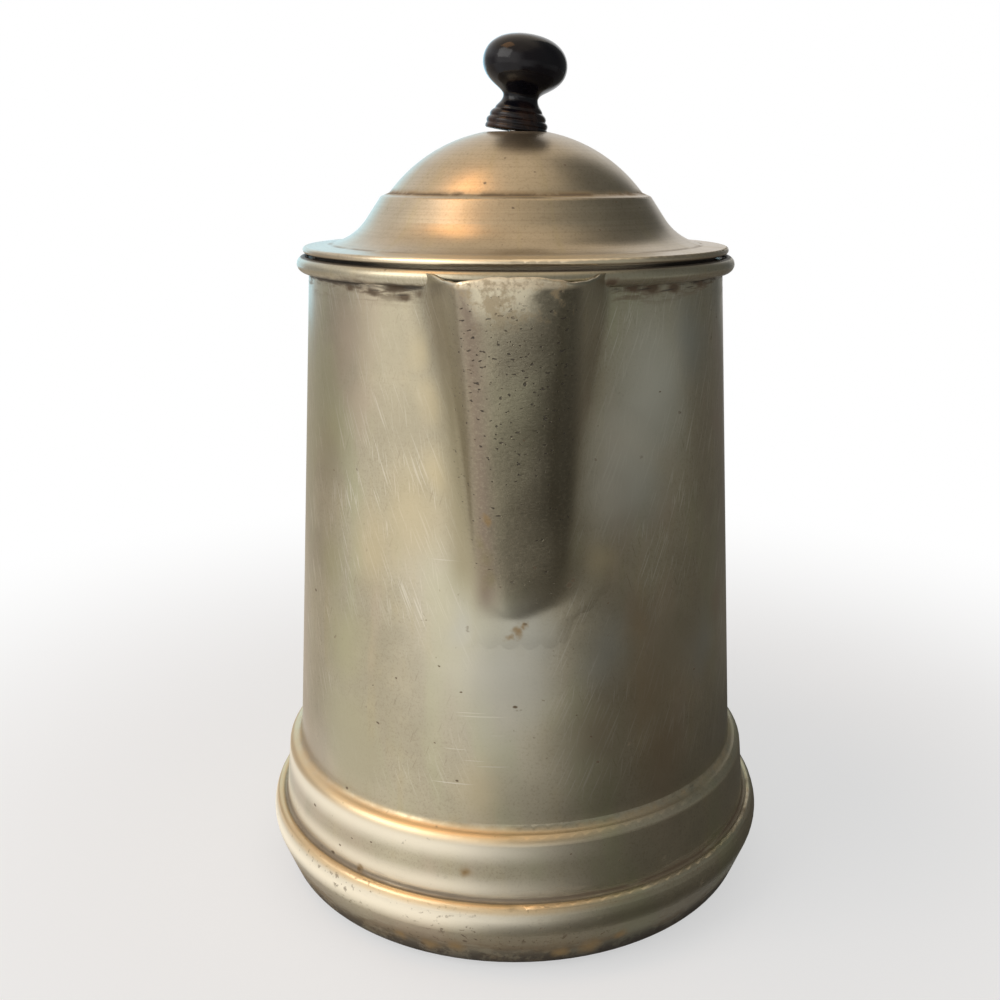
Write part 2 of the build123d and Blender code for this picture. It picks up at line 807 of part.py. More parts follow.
def save(name, shape):
    parts = shape if isinstance(shape, list) else [shape]
    solids = [solid for part in parts for solid in part.solids()]
    export_step(solids[0] if len(solids) == 1 else Compound(children=solids), f"parts/{name}.step")


os.makedirs("parts", exist_ok=True)
save("body_shell", body_shell())
save("spout", spout())
save("lid_shell", lid_shell())
save("lid_collar", lid_collar())
save("lid_hinge_leaf", lid_hinge_leaf())
save("lid_leaf_rivets", lid_leaf_rivets())
save("hinge_pin", hinge_pin())
save("knob", knob())
save("knob_washer", knob_washer())
save("knob_screw", knob_screw())
save("upper_handle_bracket", upper_handle_bracket())
save("upper_bracket_rivets", bracket_rivets(upper_rivet_zs))
save("lower_handle_bracket", lower_handle_bracket())
save("lower_bracket_rivets", bracket_rivets(lower_rivet_zs))
save("handle_grip", handle_grip())
save("upper_grip_pin", grip_pin(True))
save("lower_grip_pin", grip_pin(False))
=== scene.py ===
from math import asin, atan2, cos, exp, hypot, pi, radians, sin, sqrt

import bmesh
import bpy
from mathutils import Euler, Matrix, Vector, noise

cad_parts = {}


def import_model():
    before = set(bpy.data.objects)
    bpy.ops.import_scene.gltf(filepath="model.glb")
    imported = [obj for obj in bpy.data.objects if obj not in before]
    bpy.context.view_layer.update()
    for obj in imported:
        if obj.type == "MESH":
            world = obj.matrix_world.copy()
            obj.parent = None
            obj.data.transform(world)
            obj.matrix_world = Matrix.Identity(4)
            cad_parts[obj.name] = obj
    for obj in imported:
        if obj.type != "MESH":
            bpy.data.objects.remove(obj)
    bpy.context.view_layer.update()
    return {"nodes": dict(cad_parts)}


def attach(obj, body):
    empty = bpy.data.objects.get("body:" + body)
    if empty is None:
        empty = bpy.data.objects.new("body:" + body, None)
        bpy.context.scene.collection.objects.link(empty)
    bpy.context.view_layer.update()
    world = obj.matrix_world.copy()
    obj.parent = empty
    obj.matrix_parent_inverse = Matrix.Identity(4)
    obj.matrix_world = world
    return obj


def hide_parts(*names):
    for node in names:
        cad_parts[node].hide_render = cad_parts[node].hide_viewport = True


# A dull, oxidised aluminium coffee pot. Metres. +Z is up, the spout points along -Y.

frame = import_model()
MM = 0.001

# Camera, as the photograph was taken: an image 1000 pixels square
IMAGE_SIZE = 1000
FOCAL_PIXELS = 1150.0
PRINCIPAL_X = 516.25
SENSOR_MM = 36.0
CAMERA_X = 0.28 * MM
CAMERA_Y = -352.97 * MM
CAMERA_Z = 217.92 * MM
CAMERA_PITCH = 15.94
CAMERA_ROLL = 0.1

# Heights and radii of the pot's features, in millimetres
HEM_Z = 195.0
BEAD_LOW_Z = 189.7
WALL_FOOT_Z = 41.9
CREASE_Z = 22.2
RIM_R = 61.5
RIM_Z = 190.0
WALL_TAPER = 0.0616      # radius gained for each millimetre down
WALL_FOOT_R = 70.62
MEAN_RADIUS = 0.065      # in metres
RING_R = 55.0
GROOVE_R = 37.3
SEAT_Z = 229.0

# Spout: drop below the hem, then left and right of the nose's corners and of the knees at the wall
SPOUT_STATIONS = (
    (-6.0, -14.4, 13.2, -22.6, 23.8),
    (5.0, -13.9, 12.5, -21.8, 23.2),
    (18.0, -12.8, 11.8, -20.0, 22.0),
    (30.0, -11.8, 10.9, -18.2, 20.0),
    (42.0, -11.0, 10.4, -16.4, 18.0),
    (54.0, -10.6, 10.5, -15.0, 16.8),
    (66.0, -10.4, 11.3, -13.8, 16.4),
    (76.0, -9.8, 12.0, -13.0, 16.4),
    (83.0, -9.0, 11.2, -12.4, 15.4),
    (87.5, -7.6, 8.8, -11.0, 12.8),
    (90.5, -5.4, 5.6, -8.6, 9.2),
    (93.0, -2.6, 2.6, -4.6, 4.8),
    (106.0, -0.6, 0.6, -1.2, 1.2),
)
LIP_DROP = 2.4
LIP_RISE = 1.1           # of the lip's ends, where they meet the bead
LIP_FADE = 14.0
LIP_BOW = 1.5            # of the lip's middle
SPOUT_REACH = 20.2
SPOUT_SLOPE_END = 92.5
SPOUT_END_DROP = 104.0
SLOPE_CORNER = 0.7
NOSE_CROWN = 2.0
NOSE_SOFT_TOP = 1.1      # how far the nose's corners are rounded, at the lip and at the toe
NOSE_SOFT_TOE = 2.2
KNEE_SOFT_TOP = 4.2      # the same for the knees
KNEE_SOFT_TOE = 2.4
LEFT_KNEE = 1.35         # the left knee is rounder
SPOUT_SHEET = 1.2
NOSE_STEPS = 12          # points to either side of the nose's middle
NOSE_SIDE_FALL = 0.55    # how high the nose's sides stay, where it stands well out
NOSE_SIDE_REACH = 4.0
NOSE_SOFT_DROP = 88.0
KNEE_SOFT_DROP = 40.0    # where the knees begin to sharpen, and over how much
KNEE_SOFT_SPAN = 46.0
NOSE_SHARE = (0.30, 0.45)   # of the reach: where the nose's rounding takes over, and over how much
DENTS = ((11.0, 0.18, 0.0), (4.0, 0.04, 9.0))   # size, depth and shift in the noise
LIP_DIP = 0.15
PROUD_HEIGHT = 3.0       # above the wall, where the spout's own unevenness is full
RISE_HEIGHTS = (2.0, 9.0)   # above the wall: where the lip's rise begins to fall, and over how much
BOW_HEIGHTS = (5.0, 8.0)    # where its bow begins, and over how much
BOW_FLAT, BOW_HALF = 1.25, 11.0
WORN_PITCH = (2.6, 5.0)
WORN_DEPTH = 0.35
WORN_ROWS = 5
THIN_EDGE = 0.03         # of the sheet's thickness, where the skin lies on the wall
SECTION_POINTS = 181
SPOUT_ROWS = 130
WALL_MARGIN = 15.0
SKIN_LIFT = 0.05
SKIN_SINK = 0.13
SINK_WIDTH = 8.0


def new_piece(name, bm):
    """Makes an object of a bmesh and links it to the scene."""
    mesh = bpy.data.meshes.new(name)
    bm.to_mesh(mesh)
    bm.free()
    piece = bpy.data.objects.new(name, mesh)
    bpy.context.scene.collection.objects.link(piece)
    return piece


class Net:
    """A material's node tree, with short ways to add nodes and link them."""

    def __init__(self, name):
        self.material = bpy.data.materials.new(name)
        self.material.use_nodes = True
        self.tree = self.material.node_tree
        self.tree.nodes.clear()
        self.point = self.add("ShaderNodeTexCoord").outputs["Object"]

    def add(self, kind, inputs=None, **settings):
        node = self.tree.nodes.new(kind)
        for key, value in settings.items():
            setattr(node, key, value)
        for key, value in (inputs or {}).items():
            self.plug(node.inputs[key], value)
        return node

    def plug(self, socket, value):
        if isinstance(value, bpy.types.NodeSocket):
            self.tree.links.new(value, socket)
        else:
            socket.default_value = value

    def math(self, operation, *values, clamp=False):
        node = self.add("ShaderNodeMath", operation=operation, use_clamp=clamp)
        for socket, value in zip(node.inputs, values):
            self.plug(socket, value)
        return node.outputs[0]

    def times(self, first, second, clamp=False):
        return self.math("MULTIPLY", first, second, clamp=clamp)

    def plus(self, first, second):
        return self.math("ADD", first, second)

    def minus(self, first, second):
        return self.math("SUBTRACT", first, second)

    def larger(self, first, second):
        return self.math("MAXIMUM", first, second)

    def on_vectors(self, operation, inputs, output="Vector"):
        return self.add("ShaderNodeVectorMath", inputs, operation=operation).outputs[output]

    def size(self, x, y):
        """Length of (x, y)."""
        return self.math("SQRT", self.plus(self.times(x, x), self.times(y, y)))

    def vector(self, x, y, z):
        return self.add("ShaderNodeCombineXYZ", {"X": x, "Y": y, "Z": z}).outputs[0]

    def stretched(self, x, y, across, up, offset=0.0):
        """A place for a noise that is finer or longer along x and y."""
        return self.vector(self.times(x, across), self.times(y, up), offset)

    def axes(self, vector):
        return self.add("ShaderNodeSeparateXYZ", {0: vector}).outputs

    def noise(self, vector, scale, detail=3.0, roughness=0.5, distortion=0.0):
        inputs = {"Vector": vector, "Scale": scale, "Detail": detail,
                  "Roughness": roughness, "Distortion": distortion}
        return self.add("ShaderNodeTexNoise", inputs).outputs["Fac"]

    def step(self, value, low, high):
        """0 at low, 1 at high, smooth between; low may be above high."""
        inputs = {"Value": value, "From Min": low, "From Max": high}
        return self.add("ShaderNodeMapRange", inputs, interpolation_type="SMOOTHSTEP").outputs[0]

    def blend(self, factor, first, second):
        node = self.add("ShaderNodeMix", {"Factor": factor}, data_type="RGBA")
        self.plug(node.inputs[6], first)
        self.plug(node.inputs[7], second)
        return node.outputs[2]

    def fade(self, value, place):
        """0 at the place's first number, 1 at its second, in millimetres."""
        return self.step(value, place[0] * MM, place[1] * MM)

    def band(self, value, place):
        """1 at the place's first number, 0 beyond its second number from it, in millimetres."""
        away = self.math("ABSOLUTE", self.minus(value, place[0] * MM))
        return self.step(away, place[1] * MM, 0.0)

    def bump(self, height, distance, normal=None):
        inputs = {"Height": height, "Strength": 1.0, "Distance": distance}
        node = self.add("ShaderNodeBump", inputs)
        if normal is not None:
            self.plug(node.inputs["Normal"], normal)
        return node.outputs[0]

    def finish(self, colour, roughness, normal, metallic=0.0, **fixed):
        inputs = {"Base Color": colour, "Roughness": roughness, "Normal": normal, "Metallic": metallic}
        shader = self.add("ShaderNodeBsdfPrincipled", inputs)
        for name, value in fixed.items():
            shader.inputs[name.replace("_", " ")].default_value = value
        self.add("ShaderNodeOutputMaterial", {"Surface": shader.outputs[0]})
        return self.material


def rgb(red, green, blue):
    return (red, green, blue, 1.0)


def around(net):
    """Distance round the pot from the spout, height, and radius, in metres."""
    x, y, z = net.axes(net.point)
    angle = net.math("ARCTAN2", x, net.times(y, -1.0))
    radius = net.size(x, y)
    return net.times(angle, MEAN_RADIUS), z, radius


def below_lid(net, z):
    """0 at the rim and on the lid, 1 on the wall."""
    return net.fade(z, UNDER_LID)


def off_seam(net, u):
    """0 at the back, where the distance round the pot jumps."""
    return net.fade(net.math("ABSOLUTE", u), OFF_SEAM)


def scratchlets(net, u, z, lean, across, lengthwise, low, high):
    """Fine lines that lean away from the spout as they rise."""
    away = net.math("ABSOLUTE", u)
    cosine, sine = cos(radians(lean)), sin(radians(lean))
    over = net.minus(net.times(away, cosine), net.times(z, sine))
    down = net.plus(net.times(away, sine), net.times(z, cosine))
    place = net.stretched(over, down, across, lengthwise)
    lines = net.step(net.noise(place, 1.0, 1.0, 0.5), low, high)
    lines = net.times(lines, net.times(net.fade(z, SCRATCHED_Z), below_lid(net, z)))
    return net.times(lines, net.fade(away, SCRATCHED_U))


def worn_metal(net, light, dark, tarnish, turned=1.0):
    """Colour, roughness and bumps that every aluminium piece has; turned is the strength of its rings."""
    u, z, radius = around(net)
    ring_place = net.stretched(u, z, 7.0, TURNED_PITCH, net.times(radius, TURNED_PITCH))
    rings = net.noise(ring_place, 1.0, 2.0, 0.6)
    streaks = net.noise(net.stretched(u, z, 150.0, 7.0), 1.0, 3.0, 0.6)
    clouds = net.noise(net.point, 15.0, 4.0, 0.55, 0.5)
    patches = net.noise(net.point, 42.0, 4.0, 0.6, 0.8)
    mottle = net.noise(net.point, 120.0, 5.0, 0.7)
    grain = net.noise(net.point, 1500.0, 2.0, 0.7)
    tone = net.plus(net.times(clouds, 0.55), net.times(patches, 0.25))
    tone = net.plus(tone, net.times(mottle, 0.20))
    colour = net.blend(net.step(tone, 0.36, 0.62), dark, light)
    yellowed = net.step(net.plus(net.times(streaks, 0.6), net.times(patches, 0.4)), 0.50, 0.68)
    yellowed = net.times(yellowed, off_seam(net, u))
    colour = net.blend(net.times(yellowed, 0.35), colour, tarnish)
    speckle = net.times(net.step(grain, 0.52, 0.30), 0.20)
    colour = net.blend(speckle, colour, UMBER)
    lines = net.times(net.step(rings, 0.56, 0.36), 0.10 * turned)
    colour = net.blend(lines, colour, UMBER)
    veil = net.noise(net.stretched(u, z, 34.0, 11.0, 3.0), 1.0, 3.0, 0.55, 0.6)
    veiled = net.times(net.times(below_lid(net, z), off_seam(net, u)), 0.60)
    colour = net.blend(net.times(net.step(veil, 0.50, 0.64), veiled), colour, GREENISH)
    colour = net.blend(net.times(net.step(veil, 0.46, 0.32), veiled), colour, ROSY)
    bright = net.larger(*[scratchlets(net, u, z, *kind) for kind in BRIGHT_SCRATCHES])
    bright = net.times(bright, net.step(clouds, 0.38, 0.54))
    colour = net.blend(net.times(bright, 0.60), colour, SHINE)
    dull = scratchlets(net, u, z, *DULL_SCRATCHES)
    colour = net.blend(net.times(dull, 0.28), colour, UMBER)
    specks = net.times(net.step(net.noise(net.point, 430.0, 2.0), 0.70, 0.77),
                       net.step(patches, 0.46, 0.60))
    rough = net.plus(BARE_ROUGH, net.times(mottle, 0.10))
    rough = net.plus(rough, net.times(yellowed, 0.04))
    waves = net.bump(net.noise(net.point, 30.0, 2.0, 0.4), WAVE_DEPTH)
    fine_bump = net.plus(net.times(rings, 0.5 * turned), net.times(grain, 0.6))
    normal = net.bump(fine_bump, GRAIN_DEPTH, waves)
    return {"u": u, "z": z, "radius": radius, "mottle": mottle, "specks": specks,
            "colour": colour, "rough": rough, "normal": normal, "metal": METALLIC}


def stain_and_shade(net, look, mask, colour, amount=1.0):
    """Lays a stain over the colour where the mask says, and makes it duller there; in a few places the stain
    is painted shade.
    """
    mask = net.times(mask, amount, clamp=True)
    look["colour"] = net.blend(mask, look["colour"], colour)
    look["rough"] = net.plus(look["rough"], net.times(mask, DIRT_ROUGH))
    look["metal"] = net.times(look["metal"], net.minus(1.0, net.times(mask, DIRT_COVER)))


def toned(net, look, mask, colour, amount=1.0):
    """Lays a thin tint over the metal, which stays metal: tarnish and hues, and in places painted
    highlights, reflections and shade.
    """
    look["colour"] = net.blend(net.times(mask, amount, clamp=True), look["colour"], colour)


def near(net, node, pixels, squash=1.0, slope=0.0, pitch=700.0, shift=1.2, core=0.45):
    """1 at places in the photograph, (x, y, radius) in pixels, on a node's surface; 0 away from them.

    A squash above 1 makes them low and wide, slope tilts them, pitch and shift fray their edges,
    and core is the part of the radius that is full.
    """
    ragged = net.add("ShaderNodeTexNoise", {"Vector": net.point, "Scale": pitch, "Detail": 2.0})
    shake = net.on_vectors("SUBTRACT", {0: ragged.outputs["Color"], 1: (0.5, 0.5, 0.5)})
    shake = net.on_vectors("SCALE", {0: shake, "Scale": shift * MM / squash})
    x, y, z = net.axes(net.on_vectors("ADD", {0: net.point, 1: shake}))
    tall = net.times(net.minus(z, net.times(x, slope)), squash)
    place = net.vector(x, y, tall)
    total = None
    for px, py, size in pixels:
        spot = seen_at(node, px, py)
        centre = (spot.x, spot.y, (spot.z - slope * spot.x) * squash)
        away = net.on_vectors("DISTANCE", {0: place, 1: centre}, "Value")
        reach = size / FOCAL_PIXELS * (spot - camera_place()).length
        mask = net.step(away, reach, core * reach)
        total = mask if total is None else net.larger(total, mask)
    return total


def clouds_at(net, pixels, squash, slope=0.0):
    """Wide, soft places on the wall."""
    return near(net, "body_shell", pixels, squash, slope, 45.0, 9.0, 0.0)


CHAMPAGNE = rgb(0.450, 0.400, 0.290)
PEWTER = rgb(0.360, 0.320, 0.230)
STRAW = rgb(0.420, 0.350, 0.200)
SHINE = rgb(0.640, 0.600, 0.500)
GREENISH = rgb(0.400, 0.390, 0.250)
ROSY = rgb(0.440, 0.360, 0.270)
BLUISH = rgb(0.405, 0.400, 0.345)
GOLDEN = rgb(0.500, 0.420, 0.265)
OLIVINE = rgb(0.400, 0.370, 0.225)
BROWN = rgb(0.370, 0.290, 0.190)
STRAW_SHADE = rgb(0.300, 0.260, 0.165)
TARNISH_AND_SHADE = rgb(0.225, 0.196, 0.136)
DEEP = rgb(0.150, 0.134, 0.094)
POLISH_AND_HIGHLIGHT = rgb(0.860, 0.730, 0.520)
UMBER = rgb(0.120, 0.080, 0.042)
OCHRE = rgb(0.300, 0.200, 0.085)
RUSTY = rgb(0.190, 0.120, 0.050)
OLIVE = rgb(0.240, 0.205, 0.090)
ROSE = rgb(0.215, 0.168, 0.128)
CHALK = rgb(0.820, 0.740, 0.540)
SOOT_AND_SHADE = rgb(0.040, 0.029, 0.019)
HIGHLIGHT_PALE = rgb(0.80, 0.73, 0.59)
REFLECTED_AMBER = rgb(0.64, 0.46, 0.25)
WARM_LIGHT = rgb(0.485, 0.403, 0.290)
WARM_DARK = rgb(0.400, 0.330, 0.232)
BLACK = rgb(0.0025, 0.0025, 0.0050)
BLACK_BROWN = rgb(0.0070, 0.0050, 0.0065)
BARE_WOOD = rgb(0.060, 0.028, 0.014)
METALLIC = 0.94
BARE_ROUGH = 0.26
DIRT_ROUGH = 0.22        # added roughness of full dirt
DIRT_COVER = 0.75        # how much of the metal it hides
TURNED_PITCH = 1300.0    # of the rings left by turning, per metre
PIT_LIMIT = 0.715
WAVE_DEPTH = 0.0006      # depths of the bumps, in metres
GRAIN_DEPTH = 0.000022
PIT_DEPTH = 0.00022
LACQUER_GRAIN = 0.00004
LACQUER_WAVE = 0.00025
# Scratches: lean in degrees, lines across and along for each metre, where nothing and where full
BRIGHT_SCRATCHES = ((24.0, 2000.0, 60.0, 0.60, 0.70), (8.0, 2400.0, 90.0, 0.63, 0.72))
DULL_SCRATCHES = (-19.0, 2100.0, 120.0, 0.67, 0.75)

# Fades: (where nothing, where full), in millimetres. Heights, where no other measure is named
UNDER_LID = (194.0, 188.0)
SCRATCHED_Z = (44.0, 60.0)
SCRATCHED_U = (5.0, 20.0)         # round the pot from the spout, either way, as the next one
OFF_SEAM = (200.0, 170.0)
AT_LEFT = (-150.0, -100.0)        # round the pot, positive to the right, as the next four
GLOW_END = (28.0, -12.0)
WARM_REFLECTION_END = (36.0, 0.0)
RIGHT_START = (0.0, 34.0)
RIGHT_END = (160.0, 110.0)
CREASE_EDGE = (77.7, 76.9)        # radius
RIM_GAP_Z = (193.75, 194.1)
RIM_GAP_R = (64.3, 63.6)          # radius
ROLL_R = (77.0, 77.7)             # radius
ROLL_Z = (20.0, 22.0)
RUSTY_FOOT = (14.0, 6.0)
DEEP_FOOT = (12.0, 3.0)
SOOTY_FOOT = (10.0, 4.0)
SOOT_SHADE_Z, SOOT_SHADE_FULL_Z = 5.0, 1.0    # the first is twice as high at the right; soot with painted contact shade
SPECKED_BASE = (34.0, 12.0)
ROUGH_BASE = (46.0, 42.0)
NOSE_SIDE = (18.0, 13.0)          # to either side of the spout's middle
WALL_LEVEL = (3.0, 1.0)           # out of the wall
NOSE_LEVEL = (0.2, 3.2)           # out of the wall
SHADED_SIDE = (0.0, 9.0)          # to the right of the spout's middle
DARKENING = (8.0, 58.0)           # drop below the hem, as the next eight
ROSY_END = (94.0, 84.0)
BESIDE_START = (14.0, 36.0)
BESIDE_END = (92.0, 76.0)
SHADE_END = (58.0, 78.0)
PITS_END = (96.0, 85.0)
CHALK_END = (13.0, 4.0)
LIP_EDGE = (4.2, 2.8)
LIP_RUST = (16.0, 6.0)
KNOB_FOOT = (14.0, 9.0)           # radius
BRIM_START = (RING_R - 1.0, RING_R + 1.5)   # radius
BRIM_FRONT = (50.0, 24.0)         # round the pot from the spout, either way
HEM_GAP = (195.45, 195.15)
KNOB_RUBBED = (SEAT_Z + 1.0, SEAT_Z + 10.0)   # low, high
GRIP_RUBBED = (60.0, 100.0)                   # low, high

# Bands: (middle, half of the width), in millimetres. Heights, where no other measure is named
GRIME_BAND = (BEAD_LOW_Z - 1.2, 5.0)
BEAD_LINE = (BEAD_LOW_Z - 0.2, 1.5)
CREASE_LINE = (CREASE_Z + 0.8, 1.3)
CREASE_DIRT = (CREASE_Z + 1.5, 3.4)
WALL_FOOT_LINE = (WALL_FOOT_Z + 0.3, 1.3)
# Painted highlights on the base, then a painted warm reflection
SHOULDER_GLOW = (37.5, 5.5)
STEP_GLOW = (26.0, 4.6)
ROLL_GLOW = (18.6, 5.0)
SHOULDER_WARM_REFLECTION = (40.7, 2.6)
PITTED = (22.0, 34.0)             # drop below the hem
CHALK_MIDDLE = (-3.0, 11.0)       # to the right of the spout's middle
NOSE_EDGE_X, NOSE_EDGE_SLOPE = 13.2, 0.045   # the nose's left edge: at the hem, and inwards per drop
ROSY_EDGE = (1.6, 5.4)            # from the nose's left edge to the right, as the next one
BESIDE_EDGE = (-4.0, 7.0)
GROOVE_DIRT = (GROOVE_R + 0.4, 1.6)     # radius, as the next two
GROOVE_LINE = (GROOVE_R + 0.3, 0.9)
RING_LINE = (RING_R, 1.2)

# Marks in the photograph: x, y and half-width in pixels
LID_SPOTS = (
    (513, 208, 1.8), (565, 165, 2.0), (505, 158, 1.8), (616, 202, 2.0), (640, 208, 1.6), (485, 183, 2.0),
    (600, 230, 1.6), (502, 245, 1.4), (535, 172, 1.4),
)
WALL_SPOTS = (
    (316, 590, 3.0), (439, 666, 1.8), (396, 678, 1.8), (373, 685, 1.4), (378, 723, 2.6), (461, 692, 1.8),
    (515, 707, 3.4), (577, 715, 1.4), (591, 737, 2.0), (598, 762, 2.8), (457, 781, 2.2), (435, 743, 1.6),
    (694, 669, 2.2), (608, 603, 1.6), (448, 515, 1.4), (660, 392, 1.6), (334, 470, 1.4), (586, 478, 2.0),
)
BASE_SPOTS = (
    (315, 805, 2.6), (347, 788, 2.6), (333, 852, 3.6), (340, 845, 2.0), (359, 869, 3.4), (371, 842, 2.0),
    (423, 943, 3.4), (465, 941, 3.0), (465, 872, 2.0), (571, 854, 1.8), (620, 860, 1.6), (352, 838, 1.6),
)
RIM_GRIME = ((395, 288, 18.0), (405, 297, 14.0), (372, 292, 12.0), (350, 288, 11.0), (652, 288, 20.0),
             (674, 288, 16.0), (632, 288, 15.0), (700, 284, 10.0), (612, 282, 12.0), (424, 294, 14.0))
RIM_LINES = ((645, 289, 15.0), (668, 290, 16.0), (690, 287, 12.0), (402, 295, 12.0), (375, 290, 10.0))
WALL_BRIGHT = ((648, 380, 80.0), (630, 440, 78.0), (612, 490, 50.0))
# Painted highlight on the front left of the wall
FRONT_BRIGHT = ((470, 655, 110.0), (500, 690, 90.0), (440, 600, 80.0))
WALL_DULL = ((590, 740, 60.0), (450, 352, 30.0), (676, 640, 60.0), (332, 460, 40.0), (392, 345, 64.0),
             (400, 420, 56.0), (350, 745, 56.0))
WALL_SCRATCHES = ((482, 717, 30.0), (470, 713, 20.0), (498, 736, 9.0), (455, 749, 16.0), (474, 761, 14.0),
                  (493, 767, 20.0), (452, 783, 26.0), (447, 560, 22.0))
SPOUT_STAINS = ((484, 560, 12.0), (488, 580, 11.0), (480, 545, 9.0))
SPOUT_DIRT = ((569, 585, 4.0), (573, 580, 3.4), (525, 624, 2.6), (608, 274, 5.0), (535, 568, 2.2),
              (524, 440, 1.8))
SPOUT_RUN = ((517, 632, 9.0), (525, 626, 6.0), (508, 638, 6.0), (486, 520, 8.0))
BASE_STAINS = ((466, 872, 9.0), (430, 944, 13.0), (400, 934, 10.0), (455, 946, 12.0), (590, 946, 16.0),
               (560, 952, 12.0), (620, 934, 10.0), (360, 868, 6.0))
# Wide hues of the wall: colour, strength and places
WALL_HUES = (
    (BLUISH, 0.75, ((505, 668, 70.0), (525, 640, 50.0), (604, 650, 44.0), (655, 400, 80.0), (640, 480, 60.0),
                    (690, 340, 50.0), (462, 620, 28.0), (700, 640, 40.0))),
    (GOLDEN, 0.70, ((410, 525, 62.0), (372, 545, 46.0), (438, 470, 30.0), (428, 400, 26.0), (418, 350, 22.0),
                    (480, 790, 40.0), (600, 560, 26.0))),
    (OLIVINE, 0.70, ((345, 640, 50.0), (345, 730, 60.0), (330, 560, 34.0), (440, 600, 26.0),
                     (330, 440, 40.0))),
    (BROWN, 0.75, ((650, 690, 60.0), (662, 750, 54.0), (640, 620, 34.0), (596, 736, 26.0),
                   (716, 600, 26.0))),
    (ROSY, 0.70, ((345, 340, 50.0), (360, 400, 40.0), (716, 420, 24.0), (716, 340, 24.0))),
)


def wall_marks(net, look, wall=1.0):
    """What the wall has in common with the pressed metal round the spout; wall is 0 off the wall."""
    z = look["z"]
    for colour, amount, places in WALL_HUES:
        toned(net, look, clouds_at(net, places, 0.7), colour, amount)
    toned(net, look, clouds_at(net, WALL_BRIGHT, 0.7, 0.25), SHINE, 0.55)
    # Painted highlight on the front left of the wall
    toned(net, look, clouds_at(net, FRONT_BRIGHT, 0.6), SHINE, 0.40)
    toned(net, look, clouds_at(net, WALL_DULL, 0.8), PEWTER, 0.60)
    under = net.noise(net.stretched(look["u"], z, 70.0, 420.0), 1.0, 4.0, 0.65)
    grime = net.times(net.band(z, GRIME_BAND), net.step(under, 0.46, 0.62))
    stain_and_shade(net, look, net.times(grime, wall), UMBER, 0.85)
    line = net.times(net.band(z, BEAD_LINE), net.step(under, 0.36, 0.56))
    stain_and_shade(net, look, net.times(line, wall), SOOT_AND_SHADE, 0.85)
    smudge = near(net, "body_shell", RIM_GRIME, 2.0, 0.0, 420.0, 3.0, 0.0)
    stain_and_shade(net, look, net.times(smudge, wall), UMBER, 1.30)
    stain_and_shade(net, look, near(net, "body_shell", WALL_SPOTS, 1.6), UMBER, 0.95)
    scored = near(net, "body_shell", RIM_LINES, 14.0, 0.06, 500.0, 1.0, 0.2)
    stain_and_shade(net, look, net.times(scored, wall), SOOT_AND_SHADE, 0.85)
    toned(net, look, near(net, "body_shell", WALL_SCRATCHES, 40.0, 0.03), SHINE, 0.60)


